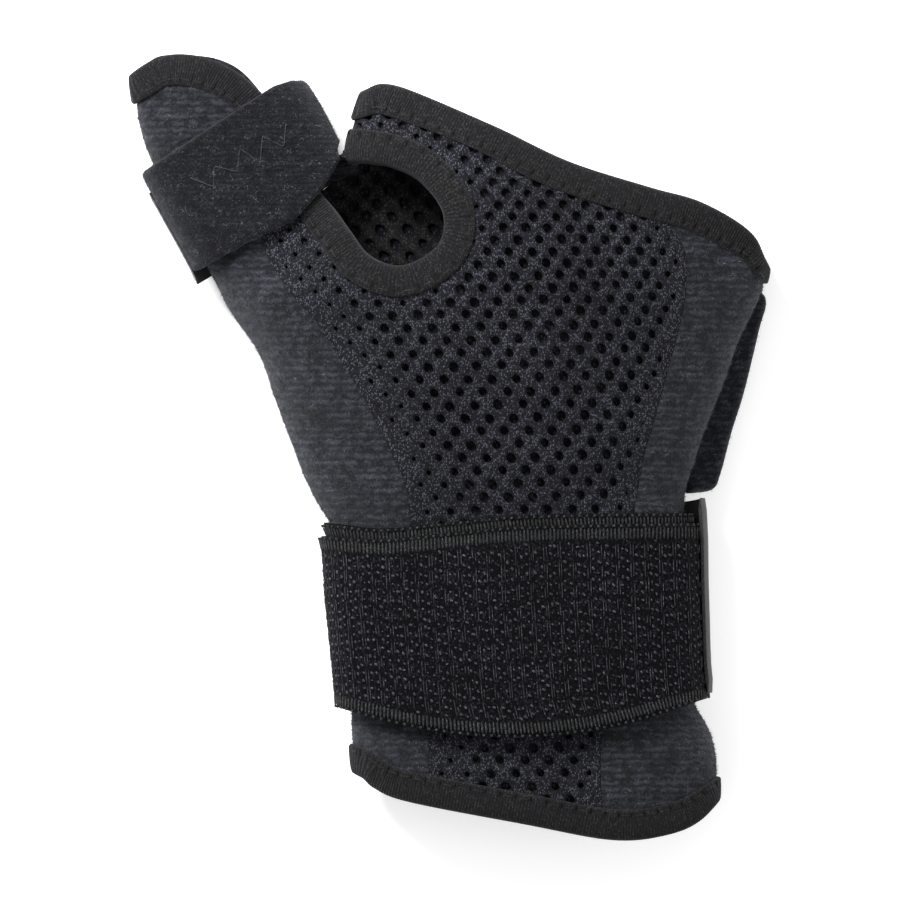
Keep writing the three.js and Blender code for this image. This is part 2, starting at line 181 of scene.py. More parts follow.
# Driving sizes of the tapes and straps
THUMB_STRAP_WIDTH = 27
THUMB_STRAP_THICKNESS = 1.9
THUMB_STRAP_GAP = 1.0
THUMB_STACK = THUMB_STRAP_GAP + THUMB_STRAP_THICKNESS
WRIST_STRAP_WIDTH = 50
WRIST_STRAP_THICKNESS = 1.8
WRIST_STRAP_MIDDLE = -0.227 * SLEEVE_LENGTH
WRIST_STRAP_BOW = 9.3
WRIST_STACK = 4.2
UNDER_STEP = 2.6
END_STEP = 7
END_THICKNESS = 1
LIFT_RAMP = 11
FLAP_HEIGHT = 3.4
FLAP_THICKNESS = 3
GAP = 0.3

# How finely the forms are made
FORM_VOXEL = 1.15
HALF_RING = 150
ROW_STEP = 1.5
RIB_STEPS = 4

SleeveRow = namedtuple("SleeveRow", "along girth left right rise")
ThumbRow = namedtuple("ThumbRow", "along left right rise")

# Places as shares of the sleeve's length, girth from wrist 0 to palm 1, folds as shares of that width
SLEEVE_ROWS = [
    SleeveRow(0.50, 1.00, -0.150, 0.593, 0.72),
    SleeveRow(0.45, 1.00, -0.164, 0.593, 0.78),
    SleeveRow(0.403, 1.00, -0.187, 0.593, 0.86),
    SleeveRow(0.364, 1.00, -0.201, 0.593, 0.92),
    SleeveRow(0.314, 1.00, -0.246, 0.593, 0.97),
    SleeveRow(0.263, 1.00, -0.306, 0.593, 1.00),
    SleeveRow(0.224, 1.00, -0.366, 0.592, 1.00),
    SleeveRow(0.186, 1.00, -0.415, 0.577, 1.00),
    SleeveRow(0.130, 0.72, -0.407, 0.593, 1.00),
    SleeveRow(0.059, 0.48, -0.395, 0.605, 1.00),
    SleeveRow(-0.010, 0.26, -0.383, 0.617, 1.00),
    SleeveRow(-0.063, 0.10, -0.372, 0.636, 1.00),
    SleeveRow(-0.115, 0.00, -0.327, 0.674, 1.00),
    SleeveRow(-0.196, 0.00, -0.309, 0.677, 1.00),
    SleeveRow(-0.324, 0.00, -0.281, 0.692, 1.00),
    SleeveRow(-0.349, 0.00, -0.283, 0.724, 1.00),
    SleeveRow(-0.378, 0.00, -0.280, 0.752, 1.00),
    SleeveRow(-0.430, 0.00, -0.268, 0.761, 0.96),
    SleeveRow(-0.530, 0.00, -0.240, 0.750, 0.88),
]
# Places as shares of the thumb's reach, folds as shares of its width
THUMB_ROWS = [
    ThumbRow(-1.33, -0.30, 0.25, 0.85),
    ThumbRow(-1.02, -0.44, 0.34, 0.95),
    ThumbRow(-0.64, -0.50, 0.44, 1.00),
    ThumbRow(-0.30, -0.48, 0.50, 1.00),
    ThumbRow(0.30, -0.475, 0.50, 0.96),
    ThumbRow(0.62, -0.44, 0.45, 0.86),
    ThumbRow(0.95, -0.33, 0.36, 0.74),
    ThumbRow(1.15, -0.25, 0.30, 0.68),
]

# Lines seen from above, each a pair: share of the palm's width across, share of the sleeve's length along
TOP_EDGE = [
    (-0.262, 0.400), (-0.205, 0.436), (-0.162, 0.453), (-0.101, 0.458), (0.076, 0.408), (0.220, 0.361),
    (0.371, 0.328), (0.468, 0.309), (0.558, 0.273), (0.588, 0.236), (0.634, 0.170),
]
BOTTOM_EDGE = [
    (-0.230, -0.405), (-0.168, -0.421), (-0.142, -0.435), (-0.078, -0.452), (0.138, -0.480),
    (0.300, -0.500), (0.400, -0.495), (0.472, -0.474), (0.530, -0.425),
]
MESH_LEFT = [
    (-0.250, 0.530), (-0.240, 0.390), (-0.275, 0.335), (-0.351, 0.278), (-0.317, 0.213), (-0.239, 0.145),
    (-0.162, 0.060), (-0.099, -0.026), (-0.075, -0.089), (-0.040, -0.371), (-0.049, -0.530),
]
MESH_RIGHT = [
    (0.200, 0.530), (0.300, 0.380), (0.385, 0.300), (0.437, 0.249), (0.437, 0.185), (0.410, 0.107),
    (0.379, 0.029), (0.349, -0.062), (0.282, -0.376), (0.299, -0.530),
]
HOLE_EDGE = [
    (-0.262, 0.350), (-0.246, 0.327), (-0.226, 0.307), (-0.190, 0.273), (-0.150, 0.240), (-0.088, 0.228),
    (-0.022, 0.254), (-0.011, 0.297), (-0.052, 0.337), (-0.101, 0.356), (-0.150, 0.364), (-0.225, 0.368),
]
BACK_LEFT = [
    (-0.121, 0.530), (-0.140, 0.416), (-0.190, 0.358), (-0.275, 0.300), (-0.290, 0.237), (-0.271, 0.148),
    (-0.224, 0.033), (-0.146, -0.094), (-0.108, -0.222), (-0.093, -0.530),
]
BACK_RIGHT = [
    (0.476, 0.530), (0.489, 0.186), (0.448, 0.110), (0.407, 0.020), (0.364, -0.082), (0.373, -0.222),
    (0.382, -0.530),
]
BACK_FLAP = [
    (0.540, 0.215), (0.590, 0.190), (0.578, 0.147), (0.550, 0.068), (0.528, 0.020), (0.506, -0.036),
    (0.490, -0.056), (0.440, -0.061),
]
FLAP_ROOT = (0.42, 0.15)
WEB_NOTCH = (-0.204, 0.375)

# The thumb flap's edge and the strap's outline in the gutter's own frame
THUMB_EDGE = [
    (-0.600, 0.70), (-0.420, 0.84), (-0.315, 0.96), (-0.145, 1.00), (0.000, 0.93), (0.160, 0.81),
    (0.260, 0.66), (0.305, 0.45), (0.315, 0.20),
]
THUMB_MOUTH = (0.40, -0.05)
THUMB_STRAP = [
    (-0.75, 0.52), (0.36, 0.65), (0.45, 0.62), (0.52, 0.54), (0.75, 0.30), (0.75, -0.25), (0.53, -0.25),
    (0.31, -0.41), (0.10, -0.52), (-0.20, -0.49), (-0.75, -0.49),
]
# The wrist strap's upper edge: place across from its middle, and dip as a share of its width
WRIST_TOP = [
    (-1.30, 0.00), (-0.95, 0.04), (-0.70, 0.07), (-0.35, 0.04), (0.00, 0.01), (0.50, 0.00), (0.90, 0.00),
    (1.30, 0.00),
]


# Places and lines
def on_sleeve(pairs):
    return np.array(pairs, float) * (PALM_WIDTH, SLEEVE_LENGTH)


def turned(points):
    """The gutter's own frame laid on the sleeve's"""
    cos, sin = math.cos(THUMB_TILT), math.sin(THUMB_TILT)
    across, along = points[..., 0], points[..., 1]
    return np.stack([across * cos - along * sin, across * sin + along * cos], axis=-1) + THUMB_ROOT


def turned_back(points):
    """The sleeve's frame read in the gutter's own"""
    cos, sin = math.cos(THUMB_TILT), math.sin(THUMB_TILT)
    x, y = points[..., 0] - THUMB_ROOT[0], points[..., 1] - THUMB_ROOT[1]
    return np.stack([x * cos + y * sin, -x * sin + y * cos], axis=-1)


def on_thumb(pairs, reach=THUMB_REACH):
    return turned(np.array(pairs, float) * (THUMB_WIDTH, reach))


def smooth_line(points, steps=120):
    """A curve through every point, as a draughtsman's spline lies"""
    last = len(points) - 1
    place = np.linspace(0, last, steps + 1)
    index = np.minimum(place.astype(int), last - 1)
    t = (place - index)[:, None]
    before, start = points[np.maximum(index - 1, 0)], points[index]
    end, after = points[index + 1], points[np.minimum(index + 2, last)]
    leave, arrive = (end - before) / 2, (after - start) / 2
    bend = 2 * start - 2 * end + leave + arrive
    pull = -3 * start + 3 * end - 2 * leave - arrive
    return ((bend * t + pull) * t + leave) * t + start


def smoothstep(value, low, high):
    t = np.clip((value - low) / (high - low), 0, 1)
    return t * t * (3 - 2 * t)


def to_line(points, line):
    """Distance from a line, above nought to the left of the way it runs"""
    starts = line[:-1]
    ways = line[1:] - line[:-1]
    lengths = (ways ** 2).sum(1)
    result = np.empty(len(points))
    for first in range(0, len(points), 8000):
        block = points[first:first + 8000]
        away = block[:, None] - starts[None]
        t = np.clip((away * ways).sum(2) / lengths, 0, 1)
        apart = ((away - t[..., None] * ways) ** 2).sum(2)
        near = apart.argmin(1)
        rows = np.arange(len(block))
        cross = ways[near, 0] * away[rows, near, 1] - ways[near, 1] * away[rows, near, 0]
        result[first:first + 8000] = np.sqrt(apart[rows, near]) * np.where(cross > 0, 1, -1)
    return result


def to_outline(points, outline):
    """Distance from a closed outline, above nought inside it"""
    closed = np.vstack([outline, outline[:1]])
    inside = np.zeros(len(points), bool)
    for (x0, y0), (x1, y1) in zip(closed[:-1], closed[1:]):
        spans = (y0 > points[:, 1]) != (y1 > points[:, 1])
        if y0 != y1:
            crossing = x0 + (points[:, 1] - y0) * (x1 - x0) / (y1 - y0)
            inside ^= spans & (points[:, 0] < crossing)
    return np.abs(to_line(points, closed)) * np.where(inside, 1, -1)


def value_at(table, column, along):
    """Reads a column of a table of sections at any place, on a smooth curve through its rows"""
    rows = sorted(table, key=lambda row: row.along)
    places = np.array([row.along for row in rows])
    values = np.array([getattr(row, column) for row in rows])
    last = len(rows) - 1
    low, high = np.maximum(np.arange(last + 1) - 1, 0), np.minimum(np.arange(last + 1) + 1, last)
    slopes = (values[high] - values[low]) / (places[high] - places[low])
    place = np.clip(along, places[0], places[-1])
    upper = np.clip(np.searchsorted(places, place), 1, last)
    span = places[upper] - places[upper - 1]
    t = (place - places[upper - 1]) / span
    end_part = t * t * (3 - 2 * t)
    start_slope = slopes[upper - 1] * span * t * (1 - t) ** 2
    end_slope = slopes[upper] * span * t * t * (t - 1)
    return values[upper - 1] * (1 - end_part) + values[upper] * end_part + start_slope + end_slope


# The sections of the sleeve and of the gutter: left fold, right fold, top, base and fold radius
def sleeve_section(y):
    along = y / SLEEVE_LENGTH
    girth = value_at(SLEEVE_ROWS, "girth", along)
    width = WRIST_WIDTH + (PALM_WIDTH - WRIST_WIDTH) * girth
    height = WRIST_HEIGHT + (PALM_HEIGHT - WRIST_HEIGHT) * girth
    low = WRIST_STRAP_MIDDLE - WRIST_STRAP_WIDTH / 2 - WRIST_STRAP_BOW / 3
    high = WRIST_STRAP_MIDDLE + WRIST_STRAP_WIDTH / 2 + UNDER_STEP
    lift = np.minimum(smoothstep(y, low - LIFT_RAMP, low), 1 - smoothstep(y, high, high + LIFT_RAMP))
    left = value_at(SLEEVE_ROWS, "left", along) * width
    right = value_at(SLEEVE_ROWS, "right", along) * width
    return left, right, value_at(SLEEVE_ROWS, "rise", along) * height, WRIST_STACK * lift, FOLD_RADIUS


def thumb_section(reach):
    along = reach / THUMB_REACH
    left = value_at(THUMB_ROWS, "left", along) * THUMB_WIDTH
    right = value_at(THUMB_ROWS, "right", along) * THUMB_WIDTH
    lift = smoothstep(reach, -THUMB_STRAP_WIDTH, -THUMB_STRAP_WIDTH / 2)
    top = value_at(THUMB_ROWS, "rise", along) * THUMB_HEIGHT
    return left, right, top, THUMB_STACK * lift, THUMB_FOLD_RADIUS


def evenly(points, count):
    """The same line with its points at equal steps"""
    run = np.concatenate([[0], np.cumsum(np.linalg.norm(np.diff(points, axis=0), axis=1))])
    steps = np.linspace(0, run[-1], count)
    return np.stack([np.interp(steps, run, points[:, axis]) for axis in range(points.shape[1])], axis=1)


def ring(section):
    """Half a ring over the front from left to right, and half behind from right to left"""
    left, right, top, base, radius = section
    middle, half = (left + right) / 2, (right - left) / 2
    angle = np.linspace(math.pi, 0, 400)
    cos, sin = np.cos(angle), np.clip(np.sin(angle), 0, 1)
    power = 2 / ARCH_ROUNDNESS
    across = middle + half * np.sign(cos) * np.abs(cos) ** power
    front = np.stack([across, FOLD_HEIGHT + (top - FOLD_HEIGHT) * sin ** power], axis=1)
    turn = np.linspace(0, math.pi / 2, 60)
    corner = radius * (1 - np.cos(turn))
    fall = FOLD_HEIGHT - (FOLD_HEIGHT - base) * np.sin(turn)
    right_side = np.stack([middle + half - corner, fall], axis=1)
    left_side = np.stack([middle - half + corner, fall], axis=1)[::-1]
    behind = evenly(np.vstack([right_side, left_side]), HALF_RING + 1)
    return np.vstack([evenly(front, HALF_RING + 1)[:-1], behind[:-1]])


class Tube:
    """A form through its sections: 0 to 1 goes over the front from left to right, 1 to 2 back behind"""

    def __init__(self, section, low, high, place):
        self.count = 2 * HALF_RING
        self.rows = np.arange(low, high + ROW_STEP / 2, ROW_STEP)
        rings = np.stack([ring(section(row)) for row in self.rows])
        spots = place(np.stack([rings[..., 0], np.repeat(self.rows[:, None], self.count, 1)], axis=-1))
        self.points = np.concatenate([spots, rings[..., 1:]], axis=-1)
        self.local = rings[..., 0]
        around = np.roll(self.points, -1, 1) - np.roll(self.points, 1, 1)
        normals = np.cross(around, np.gradient(self.points, axis=0))
        normals /= np.linalg.norm(normals, axis=-1, keepdims=True)
        self.normals = -normals if normals[len(self.rows) // 2, HALF_RING // 2, 2] < 0 else normals

    def read(self, table, place, along):
        column = np.mod(np.asarray(place, float), 2) * HALF_RING
        row = np.clip((along - self.rows[0]) / ROW_STEP, 0, len(self.rows) - 1.001)
        c0, r0 = column.astype(int), row.astype(int)
        c, r = (column - c0), (row - r0)
        if table.ndim == 3:
            c, r = c[..., None], r[..., None]
        c0, c1 = c0 % self.count, (c0 + 1) % self.count
        low = table[r0, c0] * (1 - c) + table[r0, c1] * c
        high = table[r0 + 1, c0] * (1 - c) + table[r0 + 1, c1] * c
        return low * (1 - r) + high * r

    def at(self, place, along, out=0.0):
        points = self.read(self.points, place, along)
        moved = points + self.read(self.normals, place, along) * np.asarray(out)[..., None]
        moved[..., 2] = np.maximum(moved[..., 2], 0)
        return moved

    def place_of(self, across, along, behind=False):
        """Where a spot seen from above lies round the form"""
        places = np.linspace(1, 2, HALF_RING + 1)[::-1] if behind else np.linspace(0, 1, HALF_RING + 1)
        seen = self.read(self.local, np.where(places == 2, 0, places), np.full(len(places), along))
        return np.interp(across, seen, places)

    def beside(self, place, along, distance):
        """A line moved sideways in the form's surface, to the left of its way as seen from outside"""
        step = 0.002
        spot = self.at(place, along)
        way = np.gradient(spot, axis=0)
        side = np.cross(self.read(self.normals, place, along), way)
        side /= np.linalg.norm(side, axis=1, keepdims=True)
        round_way = (self.at(place + step, along) - self.at(place - step, along)) / (2 * step)
        along_way = (self.at(place, along + 1) - self.at(place, along - 1)) / 2
        a, b, d = (round_way ** 2).sum(1), (round_way * along_way).sum(1), (along_way ** 2).sum(1)
        p, q = (round_way * side).sum(1), (along_way * side).sum(1)
        bottom = a * d - b * b
        return place + distance * (p * d - q * b) / bottom, along + distance * (q * a - p * b) / bottom


sleeve = Tube(sleeve_section, -0.53 * SLEEVE_LENGTH, 0.50 * SLEEVE_LENGTH, lambda spots: spots)
gutter = Tube(thumb_section, -1.33 * THUMB_REACH, 1.15 * THUMB_REACH, turned)


def beyond(section, spots, height):
    """How far a point lies outside a form, roughly, above nought outside"""
    left, right, top, base, radius = section(spots[:, 1])
    across = np.abs(spots[:, 0] - (left + right) / 2) / ((right - left) / 2)
    rise = np.clip((height - FOLD_HEIGHT) / (top - FOLD_HEIGHT), 0, None)
    over = (across ** ARCH_ROUNDNESS + rise ** ARCH_ROUNDNESS) ** (1 / ARCH_ROUNDNESS) - 1
    return over * (top - FOLD_HEIGHT)


# Meshes as arrays: points with their normals in six columns, and triangles
def to_object(name, points, faces):
    mesh = bpy.data.meshes.new(name)
    mesh.from_pydata((points * METRES).tolist(), [], faces.tolist() if hasattr(faces, "tolist") else faces)
    mesh.validate()
    mesh.update()
    obj = bpy.data.objects.new(name, mesh)
    bpy.context.scene.collection.objects.link(obj)
    return obj


def ring_faces(rings, closed):
    """Faces round a row of rings, with both ends filled where the row isn't closed"""
    rows, count = rings.shape[:2]
    index = np.arange(rows * count).reshape(rows, count)
    low = index if closed else index[:-1]
    high = np.roll(index, -1, 0) if closed else index[1:]
    faces = np.stack([low, np.roll(low, -1, 1), np.roll(high, -1, 1), high], axis=-1).reshape(-1, 4).tolist()
    if not closed:
        faces.append(index[0][::-1].tolist())
        faces.append(index[-1].tolist())
    return faces


def arrays_of(obj):
    """An object's evaluated mesh as points and triangles in millimetres"""
    mesh = obj.evaluated_get(bpy.context.evaluated_depsgraph_get()).to_mesh()
    mesh.calc_loop_triangles()
    points = np.empty(len(mesh.vertices) * 3, np.float32)
    mesh.vertices.foreach_get("co", points)
    triangles = np.empty(len(mesh.loop_triangles) * 3, np.int32)
    mesh.loop_triangles.foreach_get("vertices", triangles)
    return points.reshape(-1, 3).astype(float) / METRES, triangles.reshape(-1, 3).astype(int)


def edges_of(triangles):
    sides = np.vstack([triangles[:, [0, 1]], triangles[:, [1, 2]], triangles[:, [2, 0]]])
    return np.unique(np.sort(sides, axis=1), axis=0)


def averaged(values, edges, weight, rounds):
    """Each value drawn towards the mean of its neighbours"""
    count = np.bincount(edges.ravel(), minlength=len(values))[:, None]
    for _ in range(rounds):
        total = np.zeros_like(values)
        for axis in range(values.shape[1]):
            sums = np.bincount(edges[:, 0], values[edges[:, 1], axis], len(values))
            total[:, axis] = sums + np.bincount(edges[:, 1], values[edges[:, 0], axis], len(values))
        values = values + (total / count - values) * weight
    return values


def vertex_normals(points, triangles):
    corners = points[triangles]
    faces = np.cross(corners[:, 1] - corners[:, 0], corners[:, 2] - corners[:, 0])
    normals = np.zeros_like(points)
    for corner in range(3):
        np.add.at(normals, triangles[:, corner], faces)
    return normals / np.maximum(np.linalg.norm(normals, axis=1, keepdims=True), 1e-9)


def whole_form():
    """The sleeve and the gutter grown together into one skin, with the crease between them eased"""
    shells = []
    for tube in (sleeve, gutter):
        shells.append(to_object("form", tube.points.reshape(-1, 3), ring_faces(tube.points, False)))
    for shell in shells:
        shell.select_set(True)
    bpy.context.view_layer.objects.active = shells[0]
    bpy.ops.object.join()
    body = shells[0]
    bpy.ops.object.mode_set(mode="EDIT")
    bpy.ops.mesh.select_all(action="SELECT")
    bpy.ops.mesh.normals_make_consistent(inside=False)
    bpy.ops.object.mode_set(mode="OBJECT")
    remesh = body.modifiers.new("even", "REMESH")
    remesh.mode = "VOXEL"
    remesh.voxel_size = FORM_VOXEL * METRES
    points, triangles = arrays_of(body)
    bpy.data.objects.remove(body)
    edges = edges_of(triangles)
    points = averaged(points, edges, 0.5, 6)
    apart = np.maximum(
        beyond(sleeve_section, points[:, :2], points[:, 2]),
        beyond(thumb_section, turned_back(points[:, :2]), points[:, 2]),
    )
    crease = (1 - smoothstep(apart, 0.6, 4))[:, None] * smoothstep(points[:, 2], 4, 9)[:, None]
    points = averaged(points, edges, 0.5 * crease, 40)
    normals = averaged(vertex_normals(points, triangles), edges, 0.5, 3)
    normals /= np.linalg.norm(normals, axis=1, keepdims=True)
    return np.hstack([points, normals]), triangles


def clip(points, triangles, value):
    """Keeps what lies where the value is above nought, with a clean edge along nought"""
    value = value.copy()
    points = points.copy()
    edges = edges_of(triangles)
    a, b = edges.T
    crosses = (value[a] > 0) != (value[b] > 0)
    a, b = a[crosses], b[crosses]
    t = value[a] / (value[a] - value[b])
    spot = points[a] + (points[b] - points[a]) * t[:, None]
    near_a, near_b = t < 0.22, t > 0.78
    points[a[near_a]] = spot[near_a]
    value[a[near_a]] = 0
    points[b[near_b]] = spot[near_b]
    value[b[near_b]] = 0
    value[np.abs(value) < 1e-9] = 0
    sign = np.sign(value)
    kept = triangles[(sign[triangles] > 0).any(1)]
    below = (sign[kept] < 0).sum(1)
    whole = kept[below == 0]
    part = kept[below > 0]
    sides = edges_of(part) if len(part) else np.zeros((0, 2), int)
    cut = sides[sign[sides[:, 0]] * sign[sides[:, 1]] < 0]
    t = value[cut[:, 0]] / (value[cut[:, 0]] - value[cut[:, 1]])
    fresh = points[cut[:, 0]] + (points[cut[:, 1]] - points[cut[:, 0]]) * t[:, None]
    keys = cut[:, 0] * len(points) + cut[:, 1]

    def meet(first, second):
        """The new point between two corners, or the second corner where that lies on the edge"""
        low, high = np.minimum(first, second), np.maximum(first, second)
        found = np.searchsorted(keys, low * len(points) + high)
        found = np.minimum(found, max(len(keys) - 1, 0))
        return np.where(sign[second] == 0, second, len(points) + found)

    one = part[(sign[part] < 0).sum(1) == 1]
    turn = (sign[one] < 0).argmax(1)
    rows = np.arange(len(one))
    low, b1, c1 = one[rows, turn], one[rows, (turn + 1) % 3], one[rows, (turn + 2) % 3]
    ab, ac = meet(low, b1), meet(low, c1)
    two = part[(sign[part] < 0).sum(1) == 2]
    turn = (sign[two] > 0).argmax(1)
    rows = np.arange(len(two))
    top, b2, c2 = two[rows, turn], two[rows, (turn + 1) % 3], two[rows, (turn + 2) % 3]
    pieces = [
        whole,
        np.stack([ab, b1, c1], axis=1),
        np.stack([ab, c1, ac], axis=1),
        np.stack([top, meet(top, b2), meet(top, c2)], axis=1),
    ]
    triangles = np.vstack(pieces)
    plain = triangles[:, 0] != triangles[:, 1]
    plain &= (triangles[:, 1] != triangles[:, 2]) & (triangles[:, 2] != triangles[:, 0])
    return compact(np.vstack([points, fresh]), triangles[plain])


def compact(points, triangles):
    used, index = np.unique(triangles, return_inverse=True)
    return points[used], index.reshape(-1, 3)


def finer(points, triangles):
    """Each triangle divided into four"""
    edges = edges_of(triangles)
    keys = edges[:, 0] * len(points) + edges[:, 1]

    def middle(first, second):
        low, high = np.minimum(first, second), np.maximum(first, second)
        return len(points) + np.searchsorted(keys, low * len(points) + high)

    a, b, c = triangles.T
    ab, bc, ca = middle(a, b), middle(b, c), middle(c, a)
    parts = [(a, ab, ca), (ab, b, bc), (ca, bc, c), (ab, bc, ca)]
    return (
        np.vstack([points, (points[edges[:, 0]] + points[edges[:, 1]]) / 2]),
        np.vstack([np.stack(part, axis=1) for part in parts]),
    )


def wall(points, triangles, outer, inner):
    """A closed sheet between two offsets from a skin"""
    count = len(points)
    skin, normals = points[:, :3], points[:, 3:]
    outside = skin + normals * np.broadcast_to(outer, count)[:, None]
    inside = skin + normals * np.broadcast_to(inner, count)[:, None]
    both = np.vstack([outside, inside])
    both[:, 2] = np.maximum(both[:, 2], 0)
    sides = np.vstack([triangles[:, [0, 1]], triangles[:, [1, 2]], triangles[:, [2, 0]]])
    forward = sides[:, 0] * count + sides[:, 1]
    backward = sides[:, 1] * count + sides[:, 0]
    rim = sides[~np.isin(forward, backward)]
    a, b = rim.T
    rims = np.vstack([np.stack([b, a, a + count], axis=1), np.stack([b, a + count, b + count], axis=1)])
    return both, np.vstack([triangles, triangles[:, ::-1] + count, rims])


def rounded(edge_distance, radius, depth):
    """How far a face sinks where it rolls over its edge"""
    part = 1 - np.clip(edge_distance / radius, 0, 1)
    return depth * (1 - np.sqrt(np.clip(1 - part ** 2, 0, 1)))


# Where each piece lies on the skin, as distances from its edges, above nought inside
skin, skin_triangles = whole_form()
top_line = smooth_line(on_sleeve(TOP_EDGE))
bottom_line = smooth_line(on_sleeve(BOTTOM_EDGE))
hole_line = smooth_line(on_sleeve(HOLE_EDGE))
thumb_line = smooth_line(on_thumb(THUMB_EDGE))
mesh_left_line = smooth_line(on_sleeve(MESH_LEFT))
mesh_right_line = smooth_line(on_sleeve(MESH_RIGHT))
back_left_line = smooth_line(on_sleeve(BACK_LEFT))
back_right_line = smooth_line(on_sleeve(BACK_RIGHT))
far = 3 * SLEEVE_LENGTH
top_cut = np.vstack([[top_line[0, 0], far], top_line, [far, top_line[-1, 1]], [far, far]])
bottom_cut = np.vstack([
    [-far, bottom_line[0, 1]], bottom_line, [far, bottom_line[-1, 1]], [far, -far], [-far, -far],
])
web = on_sleeve([WEB_NOTCH])
past_flap = np.vstack([web, on_thumb([(0.61, 0.11), (0.61, 3), (-0.60, 3)])])
thumb_mouth = on_thumb([THUMB_MOUTH])
slot_back = np.vstack([thumb_line, thumb_mouth, past_flap])
slot_front = np.vstack([thumb_line, hole_line[:1], past_flap])
hole_outline = np.vstack([hole_line, thumb_mouth])


def front_and_back(points, front, back):
    share = smoothstep(points[:, 2], FOLD_HEIGHT - 0.6, FOLD_HEIGHT + 0.6)
    return front * share + back * (1 - share)


def inside_edges(points):
    """Distance inside the cloth's own edges: the hems, the thumb slot and the thumb hole"""
    seen = points[:, :2]
    hems = np.minimum(-to_outline(seen, top_cut), -to_outline(seen, bottom_cut))
    front = np.minimum(-to_outline(seen, slot_front), -to_outline(seen, hole_outline))
    return np.minimum(hems, front_and_back(points, front, -to_outline(seen, slot_back)))


def past_web(seen):
    """Distance past the web between thumb and palm, where the front mesh turns over to the back"""
    return np.minimum(seen[:, 1] - web[0, 1] + WALL / 2, seen[:, 0] - web[0, 0] + WALL)


def left_cloth(points):
    seen = points[:, :2]
    back = np.minimum(-to_line(seen, back_left_line), -past_web(seen))
    return front_and_back(points, -to_line(seen, mesh_left_line), back)


def front_mesh_cloth(points):
    seen = points[:, :2]
    front = np.minimum(to_line(seen, mesh_left_line), -to_line(seen, mesh_right_line))
    return front_and_back(points, front, np.minimum(past_web(seen), -to_line(seen, back_left_line)))


def right_cloth(points):
    seen = points[:, :2]
    return front_and_back(points, to_line(seen, mesh_right_line), to_line(seen, back_right_line))


def back_mesh_cloth(points):
    seen = points[:, :2]
    back = np.minimum(to_line(seen, back_left_line), -to_line(seen, back_right_line))
    return np.minimum(back, FOLD_HEIGHT - points[:, 2])


# Finishes
def shader_group(name, inputs, outputs):
    """An effect that several materials use, with its sockets named"""
    tree = bpy.data.node_groups.new(name, "ShaderNodeTree")
    for socket, kind, value in inputs:
        made = tree.interface.new_socket(socket, in_out="INPUT", socket_type=kind)
        if value is not None:
            made.default_value = value
    for socket, kind in outputs:
        tree.interface.new_socket(socket, in_out="OUTPUT", socket_type=kind)
    return tree, tree.nodes.new("NodeGroupInput"), tree.nodes.new("NodeGroupOutput")


def add_node(tree, kind, links=(), **values):
    """A node with its settings and sockets set by name, and its inputs linked"""
    node = tree.nodes.new(kind)
    for name, value in values.items():
        if hasattr(node, name):
            setattr(node, name, value)
        else:
            node.inputs[name.replace("_", " ").title()].default_value = value
    for socket, source in dict(links).items():
        tree.links.new(source, node.inputs[socket])
    return node


def math_node(tree, operation, first, second):
    node = tree.nodes.new("ShaderNodeMath")
    node.operation = operation
    for socket, value in zip(node.inputs, (first, second)):
        if isinstance(value, (int, float)):
            socket.default_value = value
        else:
            tree.links.new(value, socket)
    return node.outputs[0]


def mix_colors(tree, share, first, second):
    node = tree.nodes.new("ShaderNodeMix")
    node.data_type = "RGBA"
    for socket, value in zip((node.inputs["Factor"], node.inputs[6], node.inputs[7]), (share, first, second)):
        if isinstance(value, (int, float, tuple)):
            socket.default_value = value
        else:
            tree.links.new(value, socket)
    return node.outputs[2]


def ramp(tree, value, low, high):
    node = add_node(tree, "ShaderNodeMapRange", {"Value": value}, interpolation_type="SMOOTHSTEP")
    node.inputs["From Min"].default_value = low
    node.inputs["From Max"].default_value = high
    return node.outputs[0]


def knit_group():
    """Fine loops with light specks, as a height and a light mask"""
    inputs = [("Vector", "NodeSocketVector", None), ("Loop Scale", "NodeSocketFloat", 1500)]
    outputs = [("Height", "NodeSocketFloat"), ("Light", "NodeSocketFloat")]
    tree, given, result = shader_group("knit loops", inputs, outputs)
    spot = given.outputs["Vector"]
    scale = given.outputs["Loop Scale"]
    tall = add_node(tree, "ShaderNodeVectorMath", operation="MULTIPLY")
    tree.links.new(spot, tall.inputs[0])
    tall.inputs[1].default_value = (1, 0.66, 0.8)
    loops = add_node(tree, "ShaderNodeTexVoronoi", {"Vector": tall.outputs[0], "Scale": scale}, feature="F1")
    loops.inputs["Randomness"].default_value = 0.8
    fibres = add_node(tree, "ShaderNodeTexNoise", {"Vector": spot, "Scale": scale}, detail=3.0)
    round_loop = math_node(tree, "SUBTRACT", 1.0, loops.outputs["Distance"])
    height = math_node(tree, "MULTIPLY", round_loop, fibres.outputs["Fac"])
    tree.links.new(height, result.inputs["Height"])
    chosen = add_node(tree, "ShaderNodeSeparateColor", {"Color": loops.outputs["Color"]})
    bright = ramp(tree, chosen.outputs[0], 0.1, 1.0)
    speck = math_node(tree, "MULTIPLY", bright, ramp(tree, loops.outputs["Distance"], 0.62, 0.16))
    tree.links.new(speck, result.inputs["Light"])
    return tree


